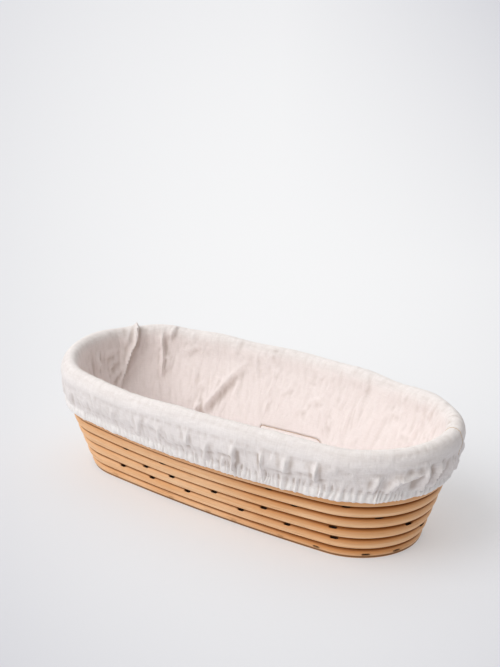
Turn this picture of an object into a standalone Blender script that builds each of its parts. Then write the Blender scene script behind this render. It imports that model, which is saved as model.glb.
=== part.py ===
"""Oval proofing basket: cane coiled into a flared wall and held by wire staples, with a cloth liner.

Metres, +Z up. The origin lies on the surface that the basket stands on, under the basket's middle.
+X runs along the length. Every row of cane steps up to the next across the back, on the +Y side.
"""

import math

import bmesh
import bpy
import numpy as np
from mathutils import Matrix, Vector

# Cane
CANE_DIAMETER = 0.0094
ROW_GAP = 0.00057
LOWER_ROWS = 5
UPPER_ROWS = 4
FLOOR_GAP = 0.0007
CORE_GAP = 0.0011
FOOT_CUT = CANE_DIAMETER / 10
TIGHTEST_BEND = CANE_DIAMETER
SPLICE_GAP = 0.0004

# Centreline of the bottom row, an oval of four arcs, and how it grows with height
ROW1_HALF_LENGTH = 0.1405
ROW1_HALF_WIDTH = 0.0450
ROW1_SIDE_BOW = 0.0042
END_FLARE = 0.352
SIDE_FLARE = 0.418
BOW_FLARE = 0.091

# Points in one loop of cane: two end arcs and two side arcs
END_STEPS = 8
SIDE_STEPS = 4
LOOP_POINTS = 2 * (END_STEPS + SIDE_STEPS)
FRONT_MIDDLE = LOOP_POINTS // 2 - 1

# Wire staples
WIRE_DIAMETER = 0.0010
CROWN_WIDTH = 0.0052
LEG_BITE = 0.0016
LEG_TILT = math.radians(20)
CROWN_SINK = 0.0015
STAPLE_CLEARANCE = 0.0003
SLOT_OVERRUN = 0.0012
WALL_STAPLE_OFFSET = 0.0027
FOOT_STAPLE_OFFSET = 0.0008

# Staples of each row, by distance along the cane from the middle of the front, towards +X
STAPLE_PLACES = {
    1: (-0.096, -0.036, 0.001, 0.025, 0.066, 0.096, 0.129, 0.150),
    2: (-0.084, -0.052, -0.016, 0.034, 0.074, 0.111, 0.176),
    3: (-0.055, -0.028, 0.013, 0.057, 0.112, 0.162),
    4: (-0.073, -0.034, 0.084, 0.143),
    5: (0.066, 0.124),
}

# Staples of the bottom row along the back, by distance beyond the step's two ends, -X side positive
FOOT_BACK_PLACES = (-0.046, 0.016, 0.046, 0.079, 0.100)

# Cloth liner
CLOTH = 0.0006
CLOTH_GAP = 0.00035
SEAM_HEIGHT = 0.0322
SEAM_GAP = 0.0004
INNER_SLACK = 0.0016
RIM_ROLL_SLACK = 0.0024
RIM_ROLL_INSET = 0.0010
RIM_ROLL_LIFT = 0.0012
RIM_ROLL_ANGLES = np.radians((160, 115, 70, 25, -20))
PANEL_CORNER = 0.0024
HEM_HEIGHT = 0.0503
CASING_EASE = 0.0037
ELASTIC_WIDTH = 0.0060
ELASTIC_THICKNESS = 0.0006
GATHER_DEPTH = 0.0009
LINER_END_STEPS = 2 * END_STEPS
LINER_SIDE_STEPS = 2 * SIDE_STEPS

# Worked out from the sizes above
CANE_RADIUS = CANE_DIAMETER / 2
WALL_ROWS = LOWER_ROWS + UPPER_ROWS
ROW_PITCH = (CANE_DIAMETER + ROW_GAP) / math.hypot(1.0, min(END_FLARE, SIDE_FLARE))
FLOOR_PITCH = CANE_DIAMETER + FLOOR_GAP
LEG_LENGTH = CANE_DIAMETER + LEG_BITE
ROW1_HEIGHT = CANE_RADIUS - FOOT_CUT
RIM_ROW_HEIGHT = ROW1_HEIGHT + (WALL_ROWS - 1) * ROW_PITCH
FLOOR_TOP = ROW1_HEIGHT + CANE_RADIUS
FLOOR_LOOPS = math.floor((ROW1_HALF_WIDTH - ROW1_SIDE_BOW - TIGHTEST_BEND) / FLOOR_PITCH)
WALL_SLANT = math.hypot(1.0, SIDE_FLARE)

# Distances from the wall's centreline to the liner's layers, measured level
INNER_LAYER = -(CANE_RADIUS + INNER_SLACK) * WALL_SLANT
TURNED_LAYER = CANE_RADIUS * WALL_SLANT + CLOTH_GAP + CLOTH / 2
ELASTIC_LAYER = TURNED_LAYER + CLOTH / 2 + CLOTH_GAP + ELASTIC_THICKNESS / 2
SKIRT_LAYER = ELASTIC_LAYER + ELASTIC_THICKNESS / 2 + CLOTH_GAP + CLOTH / 2
RIM_ROLL_RADIUS = CANE_RADIUS + RIM_ROLL_SLACK
CASING_TOP = HEM_HEIGHT + ELASTIC_WIDTH + CASING_EASE


def clear_scene():
    """Removes whatever the file opened with."""
    for old in list(bpy.data.objects):
        bpy.data.objects.remove(old, do_unlink=True)


def new_collection(name):
    """A collection in the scene."""
    made = bpy.data.collections.new(name)
    bpy.context.scene.collection.children.link(made)
    return made


def finish(name, colour, roughness, metallic=0.0):
    """A plain Principled material."""
    material = bpy.data.materials.new(name)
    material.use_nodes = True
    shader = material.node_tree.nodes["Principled BSDF"]
    shader.inputs["Base Color"].default_value = (*colour, 1.0)
    shader.inputs["Roughness"].default_value = roughness
    shader.inputs["Metallic"].default_value = metallic
    return material


def wall_outline(height, offset=0.0):
    """Half-length, half-width and side bow of the wall's centreline at a height, moved out by an offset."""
    rise = height - ROW1_HEIGHT
    half_length = ROW1_HALF_LENGTH + END_FLARE * rise + offset
    half_width = ROW1_HALF_WIDTH + SIDE_FLARE * rise + offset
    return half_length, half_width, ROW1_SIDE_BOW + BOW_FLARE * rise


def oval_ring(outline, height, end_steps, side_steps):
    """Level ring on an oval of four arcs, anticlockwise from where the +X end arc leaves the front.

    The end radius is the half-width less the bow, and the side arcs meet the end arcs at a tangent.
    """
    half_length, half_width, bow = outline
    end_radius = half_width - bow
    centre = half_length - end_radius
    side_radius = (centre**2 + half_width**2 - end_radius**2) / (2 * bow)
    meeting = math.atan2(side_radius - half_width, centre)
    end = np.linspace(-meeting, meeting, end_steps, endpoint=False)
    side = np.linspace(meeting, math.pi - meeting, side_steps, endpoint=False)
    end_arc = np.column_stack((centre + end_radius * np.cos(end), end_radius * np.sin(end)))
    back_arc = np.column_stack(
        (side_radius * np.cos(side), half_width - side_radius + side_radius * np.sin(side))
    )
    half = np.vstack((end_arc, back_arc))
    ring = np.vstack((half, -half))
    return np.column_stack((ring, np.full(len(ring), height)))


def cane_loops(outlines_and_heights):
    """Loops of one winding, each starting and ending on the back.

    A loop is level from three quarters along the back, round the front, to one quarter along the back.
    From there it steps to the next loop, and the point halfway along the step lies between the two.
    """
    start = END_STEPS + SIDE_STEPS - 1
    loops = []
    for outline, height in outlines_and_heights:
        ring = oval_ring(outline, height, END_STEPS, SIDE_STEPS)
        loops.append(np.roll(ring, -start, axis=0))
    for loop, following in zip(loops, loops[1:]):
        loop[-1] = (loop[-1] + following[-1]) / 2
    return loops


def least_gap(points):
    """Least gap between the turns of one cane, from points spaced along its centreline."""
    spacing = CANE_DIAMETER / 4
    steps = np.linalg.norm(np.diff(points, axis=0), axis=1)
    along = np.concatenate(([0.0], np.cumsum(steps)))
    stations = np.linspace(0.0, along[-1], int(along[-1] / spacing))
    line = np.column_stack([np.interp(stations, along, points[:, axis]) for axis in range(3)])
    nearest = math.inf
    skipped = int(4 * CANE_DIAMETER / spacing)
    for index in range(len(line) - skipped):
        apart = np.linalg.norm(line[index + skipped :] - line[index], axis=1)
        nearest = min(nearest, float(apart.min()))
    return nearest - CANE_DIAMETER


def poly_curve(name, points, radius, resolution):
    """Curve data: a straight-sided round tube along the points, closed at both ends."""
    curve = bpy.data.curves.new(name, "CURVE")
    curve.dimensions = "3D"
    curve.twist_mode = "Z_UP"
    curve.bevel_depth = radius
    curve.bevel_resolution = resolution
    curve.use_fill_caps = True
    spline = curve.splines.new("POLY")
    spline.points.add(len(points) - 1)
    spline.points.foreach_set("co", np.column_stack((points, np.ones(len(points)))).ravel())
    return curve


def add_object(name, data, collection, parent=None, material=None):
    """An object in a collection, under its body's empty."""
    made = bpy.data.objects.new(name, data)
    collection.objects.link(made)
    made.parent = parent
    if material is not None:
        data.materials.append(material)
    return made


def cane(name, points, collection, parent, material):
    """A length of cane as a welded mesh, so that slots and the standing flat can be cut from it."""
    guide = add_object(name + "_guide", poly_curve(name, points, CANE_RADIUS, 1), collection)
    graph = bpy.context.evaluated_depsgraph_get()
    mesh = bpy.data.meshes.new_from_object(guide.evaluated_get(graph))
    bpy.data.objects.remove(guide, do_unlink=True)
    mesh.name = name
    surface = bmesh.new()
    surface.from_mesh(mesh)
    bmesh.ops.remove_doubles(surface, verts=surface.verts, dist=1e-6)
    bmesh.ops.recalc_face_normals(surface, faces=surface.faces)
    surface.to_mesh(mesh)
    surface.free()
    mesh.materials.clear()
    return add_object(name, mesh, collection, parent, material)


def cut(piece, cutter):
    """Takes a cutter's shape out of a piece."""
    boolean = piece.modifiers.new("cut_" + cutter.name, "BOOLEAN")
    boolean.operation = "DIFFERENCE"
    boolean.solver = "EXACT"
    boolean.use_self = True
    boolean.object = cutter


def as_cutter(cutter):
    """Marks an object as a cutter, which isn't part of the basket."""
    cutter.hide_render = True
    cutter.display_type = "WIRE"
    return cutter


def floor_block(collection):
    """Cutter: everything below the surface that the basket stands on."""
    block = bmesh.new()
    bmesh.ops.create_cube(block, size=1.0)
    size = Vector((3 * ROW1_HALF_LENGTH, 4 * ROW1_HALF_WIDTH, CANE_DIAMETER))
    bmesh.ops.scale(block, vec=size, verts=block.verts)
    bmesh.ops.translate(block, vec=(0.0, 0.0, -CANE_DIAMETER / 2), verts=block.verts)
    mesh = bpy.data.meshes.new("floor_block")
    block.to_mesh(mesh)
    block.free()
    return as_cutter(add_object("floor_block", mesh, collection))


def staple_frame(row, row_below, distance, offset):
    """Place of a staple: origin at the crown's middle, X along the cane, Z out along the legs.

    The staple enters its row beside the row above, offset outwards from the cane's axis, and its legs
    lean inwards on the way to the row below.
    """
    closed = np.vstack((row, row[:1]))
    below = np.vstack((row_below, row_below[:1]))
    steps = np.linalg.norm(np.diff(closed, axis=0), axis=1)
    along = np.concatenate(([0.0], np.cumsum(steps)))
    station = (along[FRONT_MIDDLE] + distance) % along[-1]
    index = int(np.searchsorted(along, station, side="right")) - 1
    share = (station - along[index]) / steps[index]
    centre = Vector(closed[index] * (1 - share) + closed[index + 1] * share)
    under = Vector(below[index] * (1 - share) + below[index + 1] * share)
    tangent = Vector(closed[index + 1] - closed[index]).normalized()
    climb = centre - under
    climb = (climb - climb.dot(tangent) * tangent).normalized()
    outward = tangent.cross(climb)
    depth = math.sqrt(CANE_RADIUS**2 - offset**2) - CROWN_SINK
    origin = centre + offset * outward + depth * climb
    legs_out = math.cos(LEG_TILT) * climb + math.sin(LEG_TILT) * outward
    side = legs_out.cross(tangent)
    frame = Matrix((tangent, side, legs_out)).transposed().to_4x4()
    frame.translation = origin
    return frame


def staple_curve():
    """The staple's wire: a crown between two legs, in its own frame."""
    half = CROWN_WIDTH / 2
    points = np.array(
        ((-half, 0, -LEG_LENGTH), (-half, 0, 0), (half, 0, 0), (half, 0, -LEG_LENGTH)), float
    )
    return poly_curve("staple", points, WIRE_DIAMETER / 2, 0)


def slot_prism(block, frame):
    """Adds the slot of one staple to a cutter: its U outline with clearance, as thick as the wire's slot."""
    room = WIRE_DIAMETER / 2 + STAPLE_CLEARANCE
    outer = CROWN_WIDTH / 2 + room
    inner = CROWN_WIDTH / 2 - room
    top = CROWN_SINK + SLOT_OVERRUN
    bottom = -LEG_LENGTH - STAPLE_CLEARANCE
    outline = (
        (-outer, top),
        (-outer, bottom),
        (-inner, bottom),
        (-inner, -room),
        (inner, -room),
        (inner, bottom),
        (outer, bottom),
        (outer, top),
    )
    corners = [block.verts.new(frame @ Vector((x, -room, z))) for x, z in outline]
    face = block.faces.new(corners)
    swept = bmesh.ops.extrude_face_region(block, geom=[face])["geom"]
    moved = [item for item in swept if isinstance(item, bmesh.types.BMVert)]
    across = frame.to_3x3() @ Vector((0.0, 2 * room, 0.0))
    bmesh.ops.translate(block, vec=across, verts=moved)


def loft(name, rings, collection, parent, material, cap_last=False, closed=False):
    """Surface through rings of points, with a lid on the last ring or a last strip back to the first."""
    surface = bmesh.new()
    rows = [[surface.verts.new(point) for point in ring] for ring in rings]
    pairs = list(zip(rows, rows[1:]))
    if closed:
        pairs.append((rows[-1], rows[0]))
    for lower, upper in pairs:
        for index in range(len(lower)):
            after = (index + 1) % len(lower)
            surface.faces.new((lower[index], lower[after], upper[after], upper[index]))
    if cap_last:
        surface.faces.new(rows[-1])
    bmesh.ops.recalc_face_normals(surface, faces=surface.faces)
    mesh = bpy.data.meshes.new(name)
    surface.to_mesh(mesh)
    surface.free()
    mesh.shade_smooth()
    return add_object(name, mesh, collection, parent, material)


def thicken(piece):
    """Gives a surface the cloth's thickness, half to each side."""
    solidify = piece.modifiers.new("cloth", "SOLIDIFY")
    solidify.thickness = CLOTH
    solidify.offset = 0.0
    solidify.use_even_offset = True


def liner_ring(outline_height, offset, height):
    """Ring of the liner: the wall's outline at one height, moved out by an offset, at its own height."""
    outline = wall_outline(outline_height, offset)
    return oval_ring(outline, height, LINER_END_STEPS, LINER_SIDE_STEPS)


def wall_ring(offset, height):
    """Ring of the liner that follows the wall at its own height."""
    return liner_ring(height, offset, height)


def gathered(ring, depth):
    """The ring with every other column moved out, as cloth gathers on its elastic."""
    level = ring.copy()
    away = level[:, :2] / np.linalg.norm(level[:, :2], axis=1)[:, None]
    level[1::2, :2] += depth * away[1::2]
    return level


def make_floor(collection, parent, material):
    """The floor: a flat oval coil round a straight core, which is as wide as the coil leaves room for."""
    levels = [
        (wall_outline(ROW1_HEIGHT, -FLOOR_PITCH * step), ROW1_HEIGHT) for step in range(FLOOR_LOOPS, 0, -1)
    ]
    loops = cane_loops(levels)
    points = np.vstack(loops)[:-1]
    coil = cane("floor_cane", points, collection, parent, material)
    print(f"floor_cane least gap to itself {1000 * least_gap(points):.2f} mm")
    half_length, half_width, bow = levels[0][0]
    end_radius = half_width - bow
    reach = half_length - end_radius
    ends = np.array(((-reach, 0.0, ROW1_HEIGHT), (reach, 0.0, ROW1_HEIGHT)))
    core = cane("floor_core", ends, collection, parent, material)
    core_width = 2 * (end_radius - CANE_RADIUS - CORE_GAP)
    core.data.transform(Matrix.Diagonal((1.0, core_width / CANE_DIAMETER, 1.0, 1.0)))
    return core, coil, loops[-1]


def make_wall(collection, parent, material):
    """The wall: two lengths of cane wound row on row, spliced end to end on the back."""
    heights = [ROW1_HEIGHT + row * ROW_PITCH for row in range(WALL_ROWS)]
    loops = cane_loops([(wall_outline(height), height) for height in heights])
    points = np.vstack(loops)[:-1]
    before = LOWER_ROWS * LOOP_POINTS - 3
    middle = (points[before] + points[before + 1]) / 2
    run = points[before + 1] - points[before]
    half_gap = run / np.linalg.norm(run) * SPLICE_GAP / 2
    lower_points = np.vstack((points[: before + 1], middle - half_gap))
    upper_points = np.vstack((middle + half_gap, points[before + 1 :]))
    lower = cane("wall_cane_lower", lower_points, collection, parent, material)
    cane("wall_cane_upper", upper_points, collection, parent, material)
    print(f"wall_cane_lower least gap to itself {1000 * least_gap(lower_points):.2f} mm")
    print(f"wall_cane_upper least gap to itself {1000 * least_gap(upper_points):.2f} mm")
    return lower, loops


def make_staples(collection, cutters, parent, material, wall_loops, floor_loop):
    """Every staple, and one cutter for all their slots.

    The places along the front are repeated half a turn round. Where the bottom row steps up at the back
    it has left the floor coil, so its back places are counted from the ends of the step.
    """
    wire = staple_curve()
    wire.materials.append(material)
    block = bmesh.new()
    for row, places in STAPLE_PLACES.items():
        loop = wall_loops[row - 1]
        below = wall_loops[row - 2] if row > 1 else floor_loop
        offset = WALL_STAPLE_OFFSET if row > 1 else FOOT_STAPLE_OFFSET
        around = np.linalg.norm(np.diff(np.vstack((loop, loop[:1])), axis=0), axis=1).sum()
        back_places = places
        if row == 1:
            step_reach = abs(loop[0][0])
            back_places = [place + math.copysign(step_reach, place) for place in FOOT_BACK_PLACES]
        frames = [staple_frame(loop, below, place, offset) for place in places]
        frames += [staple_frame(loop, below, place + around / 2, offset) for place in back_places]
        for index, frame in enumerate(frames, start=1):
            staple = add_object(f"staple_row{row}_{index:02d}", wire, collection, parent)
            staple.matrix_world = frame
            slot_prism(block, frame)
    bmesh.ops.recalc_face_normals(block, faces=block.faces)
    mesh = bpy.data.meshes.new("staple_slots")
    block.to_mesh(mesh)
    block.free()
    return as_cutter(add_object("staple_slots", mesh, cutters))


def make_liner(collection, parent, cloth, rubber):
    """The liner: floor panel, band over the rim with its gathered skirt, and the elastic in the hem."""
    floor_height = FLOOR_TOP + CLOTH_GAP + CLOTH
    panel_rings = [
        wall_ring(INNER_LAYER, SEAM_HEIGHT - SEAM_GAP / 2),
        wall_ring(INNER_LAYER, floor_height + 3 * PANEL_CORNER),
        wall_ring(INNER_LAYER - PANEL_CORNER / 2, floor_height + PANEL_CORNER),
        wall_ring(INNER_LAYER - 2 * PANEL_CORNER, floor_height),
    ]
    thicken(loft("liner_floor_panel", panel_rings, collection, parent, cloth, cap_last=True))

    roll_height = RIM_ROW_HEIGHT + RIM_ROLL_LIFT
    roll = []
    for angle in RIM_ROLL_ANGLES:
        offset = RIM_ROLL_RADIUS * math.cos(angle) - RIM_ROLL_INSET
        roll.append(liner_ring(RIM_ROW_HEIGHT, offset, roll_height + RIM_ROLL_RADIUS * math.sin(angle)))
    turn = CLOTH + CLOTH_GAP
    skirt_middle = (CASING_TOP + RIM_ROW_HEIGHT) / 2
    band_rings = [
        wall_ring(INNER_LAYER, SEAM_HEIGHT + SEAM_GAP / 2),
        wall_ring(INNER_LAYER, RIM_ROW_HEIGHT - CANE_RADIUS),
        *roll,
        gathered(wall_ring(SKIRT_LAYER - GATHER_DEPTH, skirt_middle), GATHER_DEPTH / 2),
        gathered(wall_ring(SKIRT_LAYER, CASING_TOP), GATHER_DEPTH),
        wall_ring(SKIRT_LAYER, HEM_HEIGHT + turn),
        wall_ring(ELASTIC_LAYER, HEM_HEIGHT),
        wall_ring(TURNED_LAYER, HEM_HEIGHT + turn),
        wall_ring(TURNED_LAYER, CASING_TOP - turn),
    ]
    thicken(loft("liner_band", band_rings, collection, parent, cloth))

    low = HEM_HEIGHT + 2 * turn
    high = low + ELASTIC_WIDTH
    half = ELASTIC_THICKNESS / 2
    elastic_rings = [
        wall_ring(ELASTIC_LAYER - half, low),
        wall_ring(ELASTIC_LAYER + half, low),
        wall_ring(ELASTIC_LAYER + half, high),
        wall_ring(ELASTIC_LAYER - half, high),
    ]
    loft("hem_elastic", elastic_rings, collection, parent, rubber, closed=True)


def main():
    """Builds the basket and its liner."""
    clear_scene()
    parts = new_collection("proofing_basket")
    cutters = new_collection("cutters")
    rattan = finish("rattan", (0.79, 0.48, 0.25), 0.45)
    steel = finish("staple_wire", (0.10, 0.08, 0.07), 0.5, 1.0)
    cloth = finish("liner_cloth", (0.86, 0.82, 0.80), 0.9)
    rubber = finish("elastic", (0.85, 0.83, 0.80), 0.8)
    basket = add_object("basket", None, parts)
    liner = add_object("liner", None, parts)

    core, coil, floor_loop = make_floor(parts, basket, rattan)
    lower, wall_loops = make_wall(parts, basket, rattan)
    slots = make_staples(parts, cutters, basket, steel, wall_loops, floor_loop)
    ground = floor_block(cutters)
    for piece in (core, coil, lower):
        cut(piece, ground)
    for piece in (coil, lower):
        cut(piece, slots)
    make_liner(parts, liner, cloth, rubber)


main()
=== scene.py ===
"""Looks of an oval proofing basket: coiled cane held by wire staples, with a gathered cloth liner.

Metres, +Z up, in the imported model's frame. +X runs along the basket and the front is on the -Y side.
"""

from __future__ import annotations

import logging
import math
from collections.abc import Sequence
from dataclasses import dataclass, field
from enum import Enum
from typing import ClassVar, NamedTuple

import bpy
import numpy as np
from numpy.typing import NDArray
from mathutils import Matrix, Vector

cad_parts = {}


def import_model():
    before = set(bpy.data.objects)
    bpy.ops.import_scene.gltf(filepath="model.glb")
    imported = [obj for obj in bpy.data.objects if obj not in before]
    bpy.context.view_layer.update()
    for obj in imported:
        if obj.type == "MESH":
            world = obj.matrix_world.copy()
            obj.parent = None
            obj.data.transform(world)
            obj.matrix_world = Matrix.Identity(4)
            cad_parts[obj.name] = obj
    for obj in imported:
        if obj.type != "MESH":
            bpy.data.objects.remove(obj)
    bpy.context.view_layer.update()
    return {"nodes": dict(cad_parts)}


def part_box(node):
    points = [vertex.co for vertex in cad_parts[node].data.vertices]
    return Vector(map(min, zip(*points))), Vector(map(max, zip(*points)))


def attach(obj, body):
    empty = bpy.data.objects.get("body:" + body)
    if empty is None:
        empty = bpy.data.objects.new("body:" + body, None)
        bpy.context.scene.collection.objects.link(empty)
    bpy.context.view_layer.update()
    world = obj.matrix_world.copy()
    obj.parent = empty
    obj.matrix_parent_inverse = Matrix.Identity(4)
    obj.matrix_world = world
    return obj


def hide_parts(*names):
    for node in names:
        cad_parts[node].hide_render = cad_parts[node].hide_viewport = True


Array = NDArray[np.float64]
Value = Array | float
Pair = tuple[float, float]
Triple = tuple[float, float, float]
Quad = tuple[float, float, float, float]
Colour = Quad
Material = bpy.types.Material
Node = bpy.types.Node
Piece = bpy.types.Object
Socket = bpy.types.NodeSocket
Tree = bpy.types.NodeTree
LOG = logging.getLogger("proofing_basket")
TAU = 2.0 * math.pi
MILLIMETRE = 0.001
# Arcs in one round of the oval
ARCS = 4.0


class Body(str, Enum):
    """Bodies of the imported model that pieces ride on."""

    BASKET = "basket"
    LINER = "liner"


class Slot(str, Enum):
    """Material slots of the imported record."""

    CANE = "cane"
    WIRE = "staple_wire"
    CLOTH = "cloth"
    ELASTIC = "elastic"


# Small array helpers


def unit(vectors: Array) -> Array:
    """Vectors scaled to length one along their last axis."""
    return vectors / np.maximum(np.linalg.norm(vectors, axis=-1, keepdims=True), 1e-12)


def ease(value: Value) -> Array:
    """Smooth step: 0 below 0, 1 above 1, and 3t^2 - 2t^3 between."""
    share = np.clip(value, 0.0, 1.0)
    return share * share * (3.0 - 2.0 * share)


class Ramp(NamedTuple):
    """A smooth step from 0 at its start to 1 at its end, which may lie below its start."""

    start: Value
    end: Value

    def at(self, value: Value) -> Array:
        """The step's height at a value."""
        return ease((value - self.start) / (self.end - self.start))


class Plateau(NamedTuple):
    """A smooth rise from 0 to 1 between two values, and a smooth fall back to 0 between two more."""

    start: float
    full: float
    fading: float
    end: float

    def at(self, value: Array) -> Array:
        """The plateau's height at a value."""
        return Ramp(self.start, self.full).at(value) * Ramp(self.end, self.fading).at(value)


def run(points: Array) -> Array:
    """Distance of each point along a line of points, from the first one."""
    return np.concatenate(([0.0], np.cumsum(np.linalg.norm(np.diff(points, axis=0), axis=1))))


def at_run(wanted: Array, along: Array, points: Array) -> Array:
    """Points at wanted distances along a line, read off straight between its own points."""
    return np.column_stack([np.interp(wanted, along, axis) for axis in points.T])


def through(points: Array | Sequence[Sequence[float]], count: int, fine: int = 40) -> Array:
    """Points spaced evenly along a smooth Catmull-Rom curve through given points.

    Args:
        points: The points that the curve passes through.
        count: How many points come back, both ends included.
        fine: Samples per given point that the curve is measured with.

    Returns:
        Array of shape (count, dimensions).
    """
    knots = np.asarray(points, float)
    padded = np.vstack((2 * knots[0] - knots[1], knots, 2 * knots[-1] - knots[-2]))
    share = np.linspace(0.0, len(knots) - 1, fine * len(knots))
    span = np.minimum(share.astype(int), len(knots) - 2)
    t = (share - span)[:, None]
    a, b, c, d = (padded[span + step] for step in range(4))
    curve = 0.5 * (2 * b + (c - a) * t + (2 * a - 5 * b + 4 * c - d) * t**2 + (3 * b - a - 3 * c + d) * t**3)
    along = run(curve)
    return at_run(np.linspace(0.0, along[-1], count), along, curve)


class Waves:
    """Smooth seeded noise: a sum of cosine waves that close up round the basket."""

    # About half the mean square of the weights drawn, which brings the sum to about unit size
    HALF_SQUARE: ClassVar[float] = 0.3

    def __init__(self, seed: int, count: int, around: tuple[int, int], across: float) -> None:
        """Draws the waves.

        Args:
            seed: Seed of the random draws.
            count: How many waves are summed.
            around: Least and most waves in one turn round the basket.
            across: Most waves per metre across.
        """
        draw = np.random.default_rng(seed)
        self.around = draw.integers(around[0], around[1] + 1, count)
        self.across = draw.uniform(-across, across, count)
        self.phase = draw.uniform(0.0, TAU, count)
        self.weight = draw.uniform(0.5, 1.0, count) / math.sqrt(self.HALF_SQUARE * count)

    def at(self, turn: Array, across: Value = 0.0) -> Array:
        """Noise of about unit size.

        Args:
            turn: Share of the way round, 0 to 1.
            across: Distance across, in metres.

        Returns:
            Values of the broadcast shape.
        """
        total = np.zeros(np.broadcast(turn, across).shape)
        for around, slope, phase, weight in zip(self.around, self.across, self.phase, self.weight):
            total += weight * np.cos(TAU * (around * turn + slope * across) + phase)
        return total


# Meshes from grids


def corners(grid: Array) -> Array:
    """The four corners of every cell of a grid, cell by cell.

    Args:
        grid: Values of shape (rows, columns, ...).

    Returns:
        Array of shape (cells, 4, ...), going round each cell.
    """
    cells = np.stack((grid[:-1, :-1], grid[:-1, 1:], grid[1:, 1:], grid[1:, :-1]), axis=2)
    return cells.reshape(-1, *cells.shape[2:])


@dataclass
class Surface:
    """A grid of points and what is written on it."""

    name: str
    points: Array
    along: Array
    across: Array
    caps: bool = False
    sharp: float = math.radians(60)
    marks: dict[str, Array] = field(default_factory=dict)

    def piece(self) -> Piece:
        """Makes the mesh object: quads between the rows, closed round the columns.

        The map "span" holds each corner's distance along and across in metres, so that a pattern
        follows the surface.

        Returns:
            The object, linked to the scene.
        """
        rows, columns = self.points.shape[:2]
        index = np.arange(rows * columns).reshape(rows, columns)
        faces = corners(np.hstack((index, index[:, :1]))).tolist()
        spans = corners(np.stack(np.broadcast_arrays(self.along, self.across), axis=-1)).reshape(-1, 2)
        if self.caps:
            faces += [index[0, ::-1].tolist(), index[-1].tolist()]
            spans = np.vstack((spans, np.repeat(spans[:1], columns, 0), np.repeat(spans[-1:], columns, 0)))
        mesh = bpy.data.meshes.new(self.name)
        mesh.from_pydata(self.points.reshape(-1, 3), [], faces)
        mesh.uv_layers.new(name="span").data.foreach_set("uv", spans.astype(np.float32).ravel())
        for name, values in self.marks.items():
            data = mesh.attributes.new(name, "FLOAT", "POINT").data
            data.foreach_set("value", np.broadcast_to(values, (rows, columns)).astype(np.float32).ravel())
        return link(self.name, mesh, self.sharp)


def link(name: str, mesh: bpy.types.Mesh, sharp: float = math.radians(70)) -> Piece:
    """Links a mesh to the scene at the origin, shaded smooth up to an angle."""
    mesh.shade_smooth()
    mesh.set_sharp_from_angle(angle=sharp)
    made = bpy.data.objects.new(name, mesh)
    bpy.context.scene.collection.objects.link(made)
    return made


def copies(name: str, form: Array, places: Array, frames: Array) -> Piece:
    """One object of many like tubes.

    Args:
        name: The object's name.
        form: One tube's points, shape (rings, sides, 3), in its own frame.
        places: Where each copy's origin goes, shape (copies, 3).
        frames: Each copy's three axes as rows, shape (copies, 3, 3).

    Returns:
        The object, with the tubes closed at both ends.
    """
    rings, sides = form.shape[:2]
    spread = np.einsum("pa,cad->cpd", form.reshape(-1, 3), frames) + places[:, None]
    index = np.arange(rings * sides).reshape(rings, sides)
    quads = corners(np.hstack((index, index[:, :1])))
    faces: list[list[int]] = []
    for first in np.arange(len(places)) * rings * sides:
        faces += (quads + first).tolist()
        faces += [(index[0, ::-1] + first).tolist(), (index[-1] + first).tolist()]
    mesh = bpy.data.meshes.new(name)
    mesh.from_pydata(spread.reshape(-1, 3), [], faces)
    return link(name, mesh)


def bent_wire(bends: Array, radius: float, sides: int) -> Array:
    """A round tube along a path in the XZ plane.

    Args:
        bends: X and Z of the path's points, shape (rings, 2).
        radius: The tube's radius.
        sides: Points round the tube.

    Returns:
        Points of shape (rings, sides, 3), with faces that point out.
    """
    path = np.column_stack((bends[:, 0], np.zeros(len(bends)), bends[:, 1]))
    side = np.asarray((0.0, 1.0, 0.0))
    other = np.cross(unit(np.gradient(path, axis=0)), side)
    angle = -np.linspace(0.0, TAU, sides, endpoint=False)[None, :, None]
    return path[:, None] + radius * (np.cos(angle) * side + np.sin(angle) * other[:, None])


def stitch_form(half: float, arch: float, dip: float, radius: float) -> Array:
    """One stitch: a short arched tube along X, which dips with the fourth power of the way out.

    Args:
        half: Half its length.
        arch: Height of its middle.
        dip: How far its ends lie below its middle.
        radius: The thread's radius.

    Returns:
        Points of shape (rings, sides, 3).
    """
    share = np.linspace(-1.0, 1.0, 6)
    return bent_wire(np.column_stack((half * share, arch - dip * share**4)), radius, 6)


# The basket's wall as an oval


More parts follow.
